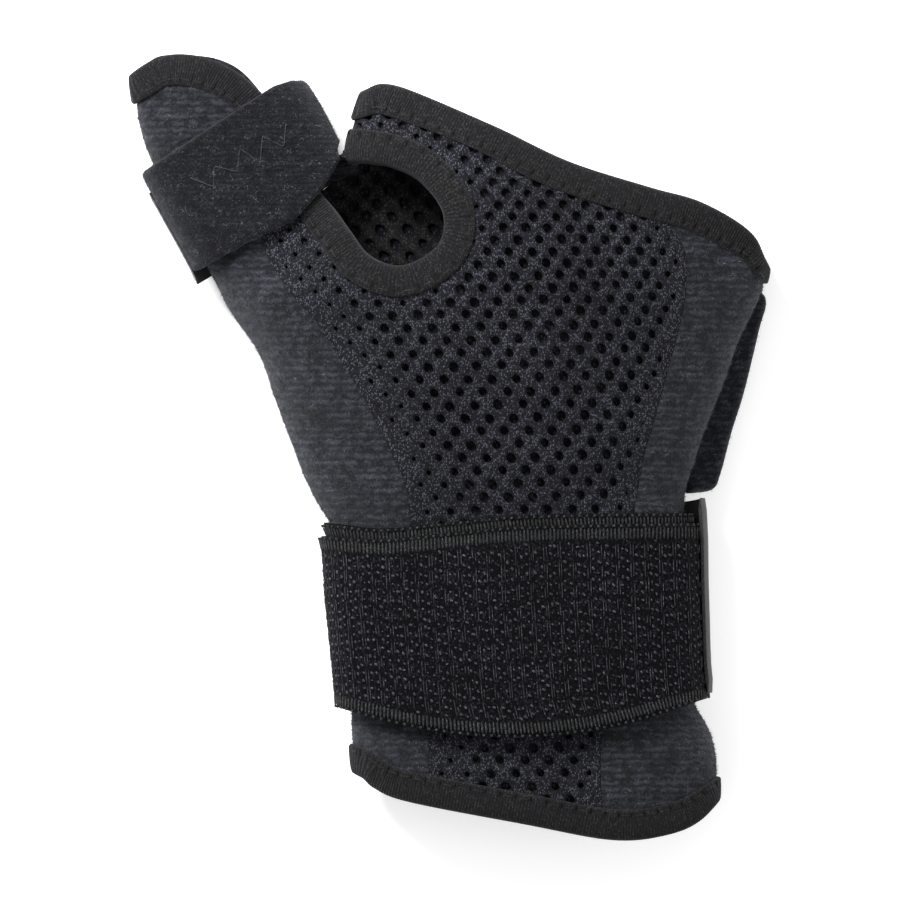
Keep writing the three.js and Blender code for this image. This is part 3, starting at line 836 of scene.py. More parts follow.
def pile_group():
    """Brushed pile in soft ridges, as a height and a light mask; the light mask holds random mottling and a painted
    highlight on the ridge crests
    """
    inputs = [
        ("Vector", "NodeSocketVector", None),
        ("Fibre Scale", "NodeSocketFloat", 1700),
        ("Ridge Scale", "NodeSocketFloat", 100),
        ("Ridge Height", "NodeSocketFloat", 0.5),
    ]
    outputs = [("Height", "NodeSocketFloat"), ("Light", "NodeSocketFloat")]
    tree, given, result = shader_group("brushed pile", inputs, outputs)
    spot = given.outputs["Vector"]
    links = {"Vector": spot, "Scale": given.outputs["Fibre Scale"]}
    fibres = add_node(tree, "ShaderNodeTexNoise", links, detail=4.0, roughness=0.7)
    links = {"Vector": spot, "Scale": given.outputs["Ridge Scale"]}
    ridges = add_node(tree, "ShaderNodeTexWave", links, bands_direction="Y", distortion=3.5, detail=2.0)
    ridges.inputs["Detail Scale"].default_value = 2.5
    ridge = math_node(tree, "MULTIPLY", ridges.outputs["Fac"], given.outputs["Ridge Height"])
    tree.links.new(math_node(tree, "ADD", fibres.outputs["Fac"], ridge), result.inputs["Height"])
    brushed = add_node(tree, "ShaderNodeTexNoise", {"Vector": spot}, scale=420.0, detail=3.0)
    strands = math_node(tree, "MULTIPLY", ramp(tree, fibres.outputs["Fac"], 0.45, 0.7), 0.5)
    # Painted highlight: the ridge crests are made lighter in colour, under the random brushed mottling
    lit_ridge = math_node(tree, "ADD", math_node(tree, "MULTIPLY", ridge, 1.7), 0.08)
    mottle_and_ridge_highlight = math_node(tree, "MULTIPLY", ramp(tree, brushed.outputs["Fac"], 0.34, 0.66), lit_ridge)
    tree.links.new(math_node(tree, "ADD", strands, mottle_and_ridge_highlight), result.inputs["Light"])
    return tree


def wear_group():
    """Broad shade changes and a few pale bits of lint"""
    inputs = [("Vector", "NodeSocketVector", None), ("Base", "NodeSocketColor", None)]
    outputs = [("Color", "NodeSocketColor")]
    tree, given, result = shader_group("wear and lint", inputs, outputs)
    spot = given.outputs["Vector"]
    broad = add_node(tree, "ShaderNodeTexNoise", {"Vector": spot}, scale=45.0, detail=3.0)
    shade = add_node(tree, "ShaderNodeMapRange", {"Value": broad.outputs["Fac"]})
    shade.inputs["From Min"].default_value = 0.3
    shade.inputs["From Max"].default_value = 0.7
    shade.inputs["To Min"].default_value = 0.8
    shade.inputs["To Max"].default_value = 1.22
    scaled = add_node(tree, "ShaderNodeVectorMath", operation="SCALE")
    tree.links.new(given.outputs["Base"], scaled.inputs[0])
    tree.links.new(shade.outputs[0], scaled.inputs["Scale"])
    lint = add_node(tree, "ShaderNodeTexVoronoi", {"Vector": spot}, scale=330.0)
    near = ramp(tree, lint.outputs["Distance"], 0.09, 0.03)
    chosen = add_node(tree, "ShaderNodeSeparateColor", {"Color": lint.outputs["Color"]})
    mask = math_node(tree, "MULTIPLY", near, math_node(tree, "GREATER_THAN", chosen.outputs[1], 0.9))
    tree.links.new(
        mix_colors(tree, math_node(tree, "MULTIPLY", mask, 0.3), scaled.outputs[0], (0.16, 0.16, 0.17, 1)),
        result.inputs["Color"],
    )
    return tree


KNIT = knit_group()
PILE = pile_group()
WEAR = wear_group()


def linear(red, green, blue):
    """A colour as seen on a screen, from 0 to 255, as light"""
    return tuple((part / 255) ** 2.2 for part in (red, green, blue)) + (1,)


Cloth = namedtuple("Cloth", "group settings dark light bump roughness sheen shine")
CLOTHS = {
    "air_mesh": Cloth(KNIT, {"Loop Scale": 2700}, (22, 22, 26), (77, 78, 85), 0.8, 0.9, 0.05, 0.08),
    "inner_mesh": Cloth(KNIT, {"Loop Scale": 2400}, (34, 34, 35), (68, 67, 67), 0.6, 0.9, 0.0, 0.05),
    "mesh_lining": Cloth(KNIT, {"Loop Scale": 1600}, (28, 28, 32), (58, 58, 64), 0.3, 0.95, 0.0, 0.02),
    "brushed_loop": Cloth(PILE, {"Ridge Scale": 185}, (12, 13, 16), (47, 48, 54), 0.9, 0.95, 0.22, 0.08),
    "strap_loop": Cloth(
        PILE, {"Ridge Scale": 230, "Ridge Height": 0.2}, (10, 10, 12), (38, 39, 42), 0.8, 0.95, 0.15, 0.06
    ),
    "pile_fibre": Cloth(PILE, {"Ridge Scale": 100}, (20, 21, 25), (92, 94, 102), 0.1, 0.9, 0.1, 0.05),
    "ribbed_tape": Cloth(KNIT, {"Loop Scale": 2600}, (24, 23, 24), (54, 52, 53), 0.3, 0.85, 0.1, 0.08),
    "woven_elastic": Cloth(KNIT, {"Loop Scale": 2000}, (8, 8, 10), (36, 36, 41), 0.5, 0.8, 0.02, 0.06),
    "elastic_thread": Cloth(KNIT, {"Loop Scale": 3000}, (38, 38, 42), (84, 84, 90), 0.2, 0.6, 0.05, 0.15),
    "selvedge_thread": Cloth(KNIT, {"Loop Scale": 3000}, (34, 35, 35), (74, 74, 74), 0.2, 0.65, 0.05, 0.12),
    "stitch_thread": Cloth(KNIT, {"Loop Scale": 4000}, (20, 20, 21), (52, 52, 54), 0.2, 0.6, 0.1, 0.15),
    "hook_tape": Cloth(KNIT, {"Loop Scale": 2600}, (120, 120, 120), (214, 213, 210), 0.25, 0.6, 0.1, 0.2),
    "seam_thread": Cloth(KNIT, {"Loop Scale": 3000}, (46, 47, 51), (80, 81, 86), 0.1, 0.6, 0.1, 0.15),
}


DEEPEST_SHADE = 0.88
NEAR_BLACK = (0.001, 0.001, 0.001, 1)
BUMP_DEPTH = 0.0004
SMOOTH_ANGLE = math.radians(55)


def cloth_material(name):
    look = CLOTHS[name]
    material = bpy.data.materials.new(name)
    material.use_nodes = True
    tree = material.node_tree
    shader = tree.nodes["Principled BSDF"]
    shader.inputs["Roughness"].default_value = look.roughness
    shader.inputs["Sheen Weight"].default_value = look.sheen
    shader.inputs["Sheen Roughness"].default_value = 0.6
    shader.inputs["Sheen Tint"].default_value = linear(190, 192, 200)
    shader.inputs["Specular IOR Level"].default_value = look.shine
    spot = add_node(tree, "ShaderNodeTexCoord").outputs["Object"]
    surface = tree.nodes.new("ShaderNodeGroup")
    surface.node_tree = look.group
    tree.links.new(spot, surface.inputs["Vector"])
    for socket, value in look.settings.items():
        surface.inputs[socket].default_value = value
    wear = tree.nodes.new("ShaderNodeGroup")
    wear.node_tree = WEAR
    tree.links.new(spot, wear.inputs["Vector"])
    colour = mix_colors(tree, surface.outputs["Light"], linear(*look.dark), linear(*look.light))
    tree.links.new(colour, wear.inputs["Base"])
    # Painted shade: the piece's dark attribute mixes its colour towards near black in grooves, round cell rims and on
    # hidden faces, and on the hook ends everywhere but a pale line
    dark = add_node(tree, "ShaderNodeAttribute", attribute_name="dark").outputs["Fac"]
    share = math_node(tree, "MULTIPLY", dark, DEEPEST_SHADE)
    shaded = mix_colors(tree, share, wear.outputs["Color"], NEAR_BLACK)
    tree.links.new(shaded, shader.inputs["Base Color"])
    bump = add_node(tree, "ShaderNodeBump", {"Height": surface.outputs["Height"]})
    bump.inputs["Strength"].default_value = look.bump
    bump.inputs["Distance"].default_value = BUMP_DEPTH
    tree.links.new(bump.outputs["Normal"], shader.inputs["Normal"])
    return material


FINISH = {name: cloth_material(name) for name in CLOTHS}


def piece(name, points, faces, finish, slot, *nodes, dark=None):
    """A finished piece that rides on the splint and stands for its solids; dark darkens it point by point towards near
    black: painted shade in grooves, round cell rims and on hidden faces, and on the hook ends all but a pale line
    """
    obj = to_object(name, points, faces)
    if dark is not None:
        shade = obj.data.attributes.new("dark", "FLOAT", "POINT")
        shade.data.foreach_set("value", np.ascontiguousarray(dark, np.float32))
    obj.data.materials.append(FINISH[finish])
    obj.select_set(True)
    bpy.context.view_layer.objects.active = obj
    bpy.ops.object.shade_smooth_by_angle(angle=SMOOTH_ANGLE)
    obj.select_set(False)
    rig.ride(obj, BODY)
    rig.slot(obj, slot)
    if nodes:
        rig.replaces(obj, *nodes)
    return obj


# Panels
EDGE_INSET = 0.4
SEAM_GAP = 0.06
SEAM_ROUND = 1.3
SEAM_DEPTH = 0.36
FULLNESS = 0.15
FUZZ_DENSITY = 2.1
FUZZ_LENGTH = 0.7
FUZZ_WIDTH = 0.08
FUZZ_FLOOR = 3


def covered(points):
    """One beneath the tapes and straps, nought in the open"""
    seen = points[:, :2]
    local = turned_back(seen)
    tapes = 1 - smoothstep(inside_edges(points), 8, 12)
    wrist = 1 - smoothstep(np.abs(seen[:, 1] - WRIST_STRAP_MIDDLE), 33, 38)
    thumb = 1 - smoothstep(np.maximum(np.abs(local[:, 1]) - 18, local[:, 0] - 25), 0, 5)
    return np.maximum(np.maximum(tapes, wrist), thumb)


def uneven(points, size=0.22):
    """Soft hills and hollows of worn padding, with no hills beneath the tapes and straps"""
    x, y = points[:, 0], points[:, 1]
    hills = np.sin(x / 9.1 + 1.3 * np.sin(y / 13.7)) + np.sin(y / 7.3 + 1.1 * np.sin(x / 11.9))
    rise = size * (hills / 2 + 0.5 * np.sin(x / 4.1 + y / 5.3)) + FULLNESS
    return rise - covered(points) * (np.maximum(rise, 0) + 0.1)


def panel(region):
    """The part of the skin that a panel covers"""
    inside = np.minimum(inside_edges(skin) - EDGE_INSET, region(skin) - SEAM_GAP)
    return clip(skin, skin_triangles, inside)


def fuzz(name, points, triangles, outer, seed):
    """Fine fibres standing out of brushed cloth, each a small leaning spike"""
    chance = np.random.default_rng(seed)
    outside = points[:, :3] + points[:, 3:] * np.broadcast_to(outer, len(points))[:, None]
    corners = outside[triangles]
    corners = corners[corners[..., 2].min(1) > FUZZ_FLOOR]
    slopes = np.cross(corners[:, 1] - corners[:, 0], corners[:, 2] - corners[:, 0])
    area = np.linalg.norm(slopes, axis=1)
    count = int(area.sum() / 2 * FUZZ_DENSITY)
    chosen = chance.choice(len(area), count, p=area / area.sum())
    up = slopes[chosen] / area[chosen, None]
    share = chance.dirichlet((1, 1, 1), count)
    root = (corners[chosen] * share[:, :, None]).sum(1) - up * 0.12
    lean = chance.normal(0, 1, (count, 3)) + (0, -0.5, 0)
    lean -= up * (lean * up).sum(1)[:, None]
    lean /= np.linalg.norm(lean, axis=1, keepdims=True)
    side = np.cross(up, lean)
    length = FUZZ_LENGTH * chance.uniform(0.5, 1.25, (count, 1))
    spike = [
        root + lean * FUZZ_WIDTH,
        root - lean * FUZZ_WIDTH / 2 + side * 0.87 * FUZZ_WIDTH,
        root - lean * FUZZ_WIDTH / 2 - side * 0.87 * FUZZ_WIDTH,
        root + (up + lean * chance.uniform(0.3, 1.3, (count, 1))) * length,
    ]
    faces = np.array([(0, 1, 3), (1, 2, 3), (2, 0, 3), (0, 2, 1)])
    faces = (faces[None] + 4 * np.arange(count)[:, None, None]).reshape(-1, 3)
    return piece(name, np.stack(spike, axis=1).reshape(-1, 3), faces, "pile_fibre", "brushed_loop")


def plush_panel(name, region, node, lumps, seed):
    points, triangles = panel(region)
    outer = uneven(points, lumps) - rounded(region(points), SEAM_ROUND, SEAM_DEPTH)
    outer *= smoothstep(points[:, 2], 1, 5)
    sheet = piece(name, *wall(points, triangles, outer, -WALL), "brushed_loop", "brushed_loop", node)
    return sheet, fuzz(name + "_pile", points, triangles, outer, seed)


left_plush, left_pile = plush_panel("left_plush", left_cloth, "left_plush_panel", 0.36, 3)
right_plush, right_pile = plush_panel("right_plush", right_cloth, "right_plush_panel", 0.24, 4)


# Air mesh: a knitted face with open cells over a dark lining
Cells = namedtuple("Cells", "row slant origin radius spread")
FRONT_CELLS = Cells((5.45, 0.0), (-2.0, -2.87), (18.9, 54.2), 1.14, 0.13)
BACK_CELLS = Cells((6.7, 0.0), (-2.9, -3.35), (-16.5, 47.5), 1.32, 0.0)
CELL_TURN = math.radians(-50)
CELL_OVAL = (1.17, 0.9)
SMALLEST_CELL = 0.48
FACE_THICKNESS = 0.9
LINING_TOP = 1.25


def to_cell(seen, cells):
    """Distance to the nearest cell's middle, as if all were the same size and round"""
    moved = seen - cells.origin
    towards = np.clip(-(0.5 * moved[:, 0] + 0.85 * moved[:, 1]), 0, None)
    stretch = 1 + cells.spread * (1 - np.exp(-towards / 30))
    moved = moved / stretch[:, None]
    basis = np.array([cells.row, cells.slant]).T
    nearest = np.round(moved @ np.linalg.inv(basis).T)
    turn = np.array([[math.cos(CELL_TURN), -math.sin(CELL_TURN)], [math.sin(CELL_TURN), math.cos(CELL_TURN)]])
    best = np.full(len(seen), 99.0)
    for across in (-1, 0, 1):
        for along in (-1, 0, 1):
            cell = nearest + (across, along)
            chance = np.sin(cell @ np.array([[12.99, 4.9], [78.23, 31.7]]).T * 1.7 + (0.4, 2.1))
            away = (moved - cell @ basis.T - 0.16 * chance) @ turn / CELL_OVAL
            size = 1 + 0.09 * np.sin(7.3 * chance[:, 0] + 5.1 * chance[:, 1])
            best = np.minimum(best, np.linalg.norm(away, axis=1) / size)
    return best * stretch


def front_radius(points):
    """Cells close up towards the seams and below the thumb hole"""
    seen = points[:, :2]
    seam = to_line(seen, mesh_left_line)
    from_left = smoothstep(seam, 1.2, 3) * (0.5 + 0.5 * smoothstep(seam, 5, 15))
    seam = -to_line(seen, mesh_right_line)
    from_right = smoothstep(seam, 0.8, 2.6) * (0.66 + 0.34 * smoothstep(seam, 3, 9))
    from_hole = smoothstep(-to_outline(seen, hole_outline), 7.2, 11.5)
    return FRONT_CELLS.radius * np.minimum(np.minimum(from_left, from_right), 0.45 + 0.55 * from_hole)


def back_radius(points):
    """Only the level part behind has cells"""
    return BACK_CELLS.radius * (1 - smoothstep(points[:, 2], 4, 9))


def open_cells(points, triangles, cells, radius):
    """A panel's skin with its cells cut out, and how far each point lies from a cell's rim"""
    size = radius(points)
    size = np.where(size < SMALLEST_CELL, -1, size)
    points, triangles = clip(points, triangles, to_cell(points[:, :2], cells) - size)
    size = radius(points)
    away = to_cell(points[:, :2], cells) - size
    return points, triangles, np.where(size < SMALLEST_CELL, 9, np.clip(away, 0, None))


def air_mesh_lining(name, region, outer, inner, node):
    points, triangles = panel(region)
    return piece(name, *wall(points, triangles, outer, inner), "mesh_lining", "air_mesh", node)


def front_mesh():
    points, triangles, away = open_cells(*finer(*panel(front_mesh_cloth)), FRONT_CELLS, front_radius)
    dip = 0.45 * np.exp(-away / 0.5)
    seam = rounded(front_mesh_cloth(points), SEAM_ROUND, SEAM_DEPTH)
    top = (uneven(points) - dip - seam) * smoothstep(points[:, 2], 1, 5)
    face = wall(points, triangles, top, -FACE_THICKNESS - 0.6)
    # Painted shade: the face darkens towards each cell's rim so the strands look rounded, and its underside is
    # darkened throughout
    shade = 0.6 * np.exp(-away / 0.3)
    dark = np.concatenate([shade, np.full(len(points), 0.85)])
    shown = piece("front_mesh_face", *face, "air_mesh", "air_mesh", "front_mesh_panel", dark=dark)
    top = -LINING_TOP - 0.75
    lining = air_mesh_lining("front_mesh_lining", front_mesh_cloth, top, -WALL, "front_mesh_panel")
    return shown, lining


def back_mesh():
    """The back panel's knitted face looks into the sleeve"""
    points, triangles, away = open_cells(*panel(back_mesh_cloth), BACK_CELLS, back_radius)
    face = wall(points, triangles, -WALL + FACE_THICKNESS, -WALL)
    # Painted shade: the side towards the lining is darkened throughout, and the side seen into the sleeve darkens
    # towards each cell's rim
    dark = np.concatenate([np.full(len(points), 0.85), 0.75 * np.exp(-away / 0.45)])
    shown = piece("back_mesh_face", *face, "inner_mesh", "air_mesh", "back_mesh_panel", dark=dark)
    lining = air_mesh_lining("back_mesh_lining", back_mesh_cloth, 0, -WALL + LINING_TOP, "back_mesh_panel")
    return shown, lining


front_face, front_lining = front_mesh()
back_face, back_lining = back_mesh()


# Threads
GRAIN_SIDES = 5


def grains(spots, long_way, side_way, sizes):
    """Small rounded threads, all in one mesh; sizes are half lengths, half widths and half heights"""
    up = np.cross(side_way, long_way)
    rings = [(-1.0, 0.35), (-0.6, 1.0), (0.6, 1.0), (1.0, 0.35)]
    turn = np.arange(GRAIN_SIDES) * 2 * math.pi / GRAIN_SIDES
    shape = [(reach, wide * math.cos(a), wide * math.sin(a)) for reach, wide in rings for a in turn]
    shape = np.array(shape)
    sizes = np.broadcast_to(sizes, (len(spots), 3))
    points = spots[:, None] + long_way[:, None] * (shape[None, :, :1] * sizes[:, None, :1])
    points = points + side_way[:, None] * (shape[None, :, 1:2] * sizes[:, None, 1:2])
    points = points + up[:, None] * (shape[None, :, 2:] * sizes[:, None, 2:])
    points[..., 2] = np.maximum(points[..., 2], 0)
    faces = []
    for row in range(len(rings) - 1):
        for side in range(GRAIN_SIDES):
            a, b = row * GRAIN_SIDES + side, row * GRAIN_SIDES + (side + 1) % GRAIN_SIDES
            faces += [(a, b, b + GRAIN_SIDES), (a, b + GRAIN_SIDES, a + GRAIN_SIDES)]
    last = (len(rings) - 1) * GRAIN_SIDES
    for side in range(1, GRAIN_SIDES - 1):
        faces += [(0, side + 1, side), (last, last + side, last + side + 1)]
    faces = np.array(faces)[:, ::-1]
    starts = np.arange(len(spots))[:, None, None] * len(shape)
    return points.reshape(-1, 3), (faces[None] + starts).reshape(-1, 3)


# Ribbed tapes, folded over the edges
RIB_PITCH = 0.76
RIB_HEIGHT = 0.2
STITCH_PITCH = 3.8
STITCH_INSET = 6.1
# The tape's section: inset from the cloth's edge and height over the cloth
TAPE_OUTSIDE = [
    (7.5, 0.04), (7.42, 0.38), (7.0, 0.6), (6.5, 0.68), (6.1, 0.68), (5.7, 0.7), (4.6, 0.74), (2.6, 0.76),
    (1.2, 0.68), (0.3, 0.42), (-0.25, -0.25), (-0.5, -1.5), (-0.25, -2.75), (0.3, -3.42), (1.2, -3.68),
    (4.6, -3.72), (7.1, -3.6), (7.5, -3.06),
]
TAPE_INSIDE = [(6.9, -3.04), (0.3, -3.03), (0.05, -1.5), (0.3, 0.02), (6.9, 0.02)]


def even_path(spots, columns, closed):
    """Columns of values along a line, read again at the tape's own small steps"""
    run = np.concatenate([[0], np.cumsum(np.linalg.norm(np.diff(spots, axis=0), axis=1))])
    pitch = RIB_PITCH / RIB_STEPS
    count = int(run[-1] / RIB_PITCH) * RIB_STEPS
    steps = np.linspace(0, run[-1], count + 1)
    if closed:
        steps = steps[:-1]
    return [np.interp(steps, run, column) for column in columns], np.arange(len(steps)) * pitch


def tape(name, surface, run, closed, node):
    """surface gives points at an inset from the edge and a height over the cloth"""
    rib = RIB_HEIGHT * (0.5 + 0.5 * np.cos(2 * math.pi * run / RIB_PITCH))
    pull = np.exp(-((np.mod(run, STITCH_PITCH) - STITCH_PITCH / 2) / 0.55) ** 2)
    groove = 1 - rib / RIB_HEIGHT
    rings, dark = [], []
    for inset, out in TAPE_OUTSIDE:
        stitched = pull * math.exp(-((inset - STITCH_INSET) / 0.75) ** 2) * (out > 0)
        edge = 0 if inset > 7.3 else 1
        rings.append(surface(inset, out + (rib * edge - 0.55 * stitched) * (1 if out > -1.5 else -1)))
        # Painted shade: the grooves between the ribs and the stitch dimples are darkened
        dark.append(np.maximum(0.6 * groove * edge, stitched))
    for inset, out in TAPE_INSIDE:
        rings.append(surface(inset, np.full(len(run), float(out))))
        dark.append(np.zeros(len(run)))
    points = np.stack(rings, axis=1)
    faces = ring_faces(points, closed)
    shade = np.stack(dark, axis=1).ravel()
    obj = piece(name, points.reshape(-1, 3), faces, "ribbed_tape", "ribbed_tape", node, dark=shade)
    outward(obj)
    return obj, stitches(name + "_stitches", surface, run)


def stitches(name, surface, run):
    """The thread that shows between the holes that it goes down through"""
    line = surface(STITCH_INSET, np.full(len(run), 0.74))
    spots = np.nonzero(np.diff(np.floor(run / STITCH_PITCH)) > 0)[0] + 1
    spots = spots[run[spots] < run[-1] - STITCH_PITCH / 2]
    ahead = np.gradient(line, axis=0)[spots]
    up = (surface(STITCH_INSET, np.full(len(run), 1.74)) - line)[spots]
    ahead /= np.linalg.norm(ahead, axis=1, keepdims=True)
    up /= np.linalg.norm(up, axis=1, keepdims=True)
    points, triangles = grains(line[spots], ahead, np.cross(ahead, up), (1.3, 0.17, 0.15))
    return piece(name, points, triangles, "stitch_thread", "ribbed_tape")


def outward(obj):
    obj.select_set(True)
    bpy.context.view_layer.objects.active = obj
    bpy.ops.object.mode_set(mode="EDIT")
    bpy.ops.mesh.select_all(action="SELECT")
    bpy.ops.mesh.normals_make_consistent(inside=False)
    bpy.ops.object.mode_set(mode="OBJECT")
    obj.select_set(False)


LINE_STEPS = 900
LINE_ROUNDS = 60
TAPE_MARGIN = 6


def round_the_sleeve(height_at):
    """A line round the sleeve whose place along it is read from how far across it is"""
    place = np.linspace(0, 2, LINE_STEPS)
    along = np.full(LINE_STEPS, float(height_at(np.array([0.0]))[0]))
    for _ in range(LINE_ROUNDS):
        along = (along + height_at(sleeve.at(place, along)[:, 0])) / 2
    return place, along


def tape_round_sleeve(name, line, inward, pinch, node):
    """pinch is the share of its width that the tape loses at the right fold"""
    place, along = round_the_sleeve(lambda x: np.interp(x, line[:, 0], line[:, 1]))
    (place, along), run = even_path(sleeve.at(place, along), (place, along), True)
    place = np.concatenate([place[-TAPE_MARGIN:] - 2, place, place[:TAPE_MARGIN] + 2])
    along = np.concatenate([along[-TAPE_MARGIN:], along, along[:TAPE_MARGIN]])
    share = 1 - pinch * np.exp(-((place - 1) / 0.06) ** 2)

    def surface(inset, out):
        spot, height = sleeve.beside(place, along, inward * inset * share)
        wide = np.concatenate([out[-TAPE_MARGIN:], out, out[:TAPE_MARGIN]])
        return sleeve.at(spot, height, wide)[TAPE_MARGIN:-TAPE_MARGIN]

    return tape(name, surface, run, True, node)


top_binding, top_stitches = tape_round_sleeve("top_tape", top_line, -1, 0.42, "top_binding")
bottom_binding, bottom_stitches = tape_round_sleeve("bottom_tape", bottom_line, 1, 0.15, "bottom_binding")


def eased(line, span):
    """A line's corners rounded by a moving average that leaves its ends where they are"""
    before = 2 * line[0] - line[span:0:-1]
    after = 2 * line[-1] - line[-2:-span - 2:-1]
    longer = np.vstack([before, line, after])
    weights = np.hanning(2 * span + 1)
    weights /= weights.sum()
    return np.stack([np.convolve(column, weights, "valid") for column in longer.T], axis=1)


GUTTER_HALF_ROUND = 60


def flap_tape():
    """The thumb flap's tape goes up its open side, over the end and down behind"""
    local = turned_back(thumb_line)[::-1]
    front, back = [], []
    for across, along in local:
        left = thumb_section(np.array([along]))[0][0]
        if across > left + 0.2:
            front.append((gutter.place_of(across, along), along))
            back.append((gutter.place_of(across, along, behind=True) - 2, along))
    route = eased(evenly(np.array(front + back[::-1]) * (GUTTER_HALF_ROUND, 1), 400), 65)
    place, along = route[:, 0] / GUTTER_HALF_ROUND, route[:, 1]
    (place, along), run = even_path(gutter.at(place, along), (place, along), False)

    def surface(inset, out):
        spot, height = gutter.beside(place, along, inset)
        return gutter.at(spot, height, out)

    return tape("flap_tape", surface, run, False, "thumb_flap_binding")


flap_binding, flap_stitches = flap_tape()


class Above:
    """The skin's height and slope seen from above, read on an even grid"""

    def __init__(self, low, high, step=0.6):
        tree = BVHTree.FromPolygons(skin[:, :3].tolist(), skin_triangles.tolist())
        self.low, self.step = np.array(low, float), step
        size = np.ceil((np.array(high) - low) / step).astype(int) + 1
        self.heights = np.zeros(size)
        for i in range(size[0]):
            for j in range(size[1]):
                spot = Vector((low[0] + i * step, low[1] + j * step, 200))
                hit = tree.ray_cast(spot, Vector((0, 0, -1)))[0]
                self.heights[i, j] = hit.z if hit else FOLD_HEIGHT
        slopes = np.gradient(self.heights, step)
        normals = np.stack([-slopes[0], -slopes[1], np.ones(size)], axis=-1)
        self.normals = normals / np.linalg.norm(normals, axis=-1, keepdims=True)

    def read(self, table, seen):
        spot = (seen - self.low) / self.step
        index = np.clip(spot.astype(int), 0, np.array(self.heights.shape) - 2)
        t = np.clip(spot - index, 0, 1)
        i, j = index.T
        u, v = (t[:, :1], t[:, 1:]) if table.ndim == 3 else t.T
        low = table[i, j] * (1 - u) + table[i + 1, j] * u
        return low * (1 - v) + (table[i, j + 1] * (1 - u) + table[i + 1, j + 1] * u) * v

    def at(self, seen, out):
        spots = np.hstack([seen, self.read(self.heights, seen)[:, None]])
        return spots + self.read(self.normals, seen) * np.broadcast_to(out, len(seen))[:, None]


THUMB_CORNERS = (-85, 0), (25, 95)
above = Above(*THUMB_CORNERS)


def hole_tape():
    """The thumb hole's tape ends at the web, beneath the strap"""
    upper_half = np.arange(len(hole_line)) > len(hole_line) // 2
    stop = np.nonzero((hole_line[:, 0] < web[0, 0] + 0.4) & upper_half)[0]
    line = hole_line[:stop[0]] if len(stop) else hole_line
    spots = above.at(line, 0.0)
    (x, y), run = even_path(spots, line.T, False)
    seen = np.stack([x, y], axis=1)
    way = np.gradient(seen, axis=0)
    way /= np.linalg.norm(way, axis=1, keepdims=True)
    side = np.stack([way[:, 1], -way[:, 0]], axis=1)
    upper_arm = (np.arange(len(run)) > len(run) / 2).astype(float)

    def surface(inset, out):
        spots = seen + side * inset
        fold = sleeve_section(spots[:, 1])[0] + 0.4
        spots[:, 0] += upper_arm * np.maximum(fold - spots[:, 0], 0)
        return above.at(spots, out)

    return tape("hole_tape", surface, run, False, "thumb_hole_binding")


hole_binding, hole_stitches = hole_tape()


# Straps
PAIR_PITCH = 3.65
BEAD_PITCH = 2.3
SELVEDGE_BAR_PITCH = 0.95
SELVEDGE = 3.9
LINE_PARTS = 9


def band(name, tube, places, edges_at, profile, ribs, finish, slot, node, shade=None):
    """A strap round a form: the profile runs from its lower edge, share 0, to its upper, share 1, and back"""
    low, high = edges_at(places)
    rings = []
    for share, out in profile:
        lift = ribs(places) if out > profile[0][1] and 0.07 < share < 0.93 else 0
        rings.append(tube.at(places, low + (high - low) * share, np.broadcast_to(out + lift, len(places))))
    points = np.stack(rings, axis=1)
    faces = ring_faces(points, closed=places[-1] - places[0] > 1.9)
    dark = None if shade is None else np.repeat(shade, len(profile))
    obj = piece(name, points.reshape(-1, 3), faces, finish, slot, node, dark=dark)
    outward(obj)
    return obj


def strap_profile(start, thickness, rows=22, roll=0.03):
    """A strap's cross-section with rolled edges and fuller selvedges"""
    shares = np.linspace(0, 1, rows)
    near = np.minimum(shares, 1 - shares)
    selvedge = 0.16 * (1 - smoothstep(near, 0.07, 0.09))
    top = start + thickness - 0.16 + selvedge - 0.5 * thickness * (1 - smoothstep(near, 0, roll)) ** 2
    bottom = np.full(rows, start) + 0.4 * thickness * (1 - smoothstep(near, 0, roll)) ** 2
    outside = list(zip(shares, top))
    inside = list(zip(shares[::-1], bottom))
    return inside[::-1][:1] + outside + inside[:-1]


def threads_on(tube, places, along, out, sizes, lean=0.0):
    """Grains lying along a form, at places round it and heights along it"""
    spots = tube.at(places, along, np.broadcast_to(out, len(places)))
    up = tube.read(tube.normals, places, along)
    ahead = tube.at(places, along + 0.5) - tube.at(places, along - 0.5)
    ahead /= np.linalg.norm(ahead, axis=1, keepdims=True)
    side = np.cross(ahead, up)
    side /= np.linalg.norm(side, axis=1, keepdims=True)
    lean = np.broadcast_to(lean, len(places))[:, None]
    long_way = ahead * np.cos(lean) + side * np.sin(lean)
    return grains(spots, long_way, np.cross(long_way, up), sizes)


def wrist_edges(top_shift, bottom_shift):
    """The strap's lower and upper edge at any place round the sleeve"""
    left, right = [side[0] for side in sleeve_section(np.array([WRIST_STRAP_MIDDLE]))[:2]]
    centre, reach = (left + right) / 2, (right - left) / 2 + WRIST_STACK
    top = WRIST_STRAP_MIDDLE + WRIST_STRAP_WIDTH / 2 + top_shift
    bottom = WRIST_STRAP_MIDDLE - WRIST_STRAP_WIDTH / 2 + bottom_shift
    upper_line = smooth_line(np.array(WRIST_TOP) * (1, WRIST_STRAP_WIDTH))

    def upper(x):
        return top - np.interp((x - centre) / reach, upper_line[:, 0], upper_line[:, 1])

    def lower(x):
        return bottom - WRIST_STRAP_BOW * (1 / 3 - ((x - centre) / reach) ** 2)

    place, high = round_the_sleeve(upper)
    low = round_the_sleeve(lower)[1]
    return lambda places: (np.interp(places, place, low), np.interp(places, place, high))


def strap_length():
    line = sleeve.at(np.linspace(0, 2, 400), WRIST_STRAP_MIDDLE, 3.0)
    return float(np.linalg.norm(np.diff(line, axis=0), axis=1).sum())


STRAP_ROUND = strap_length()


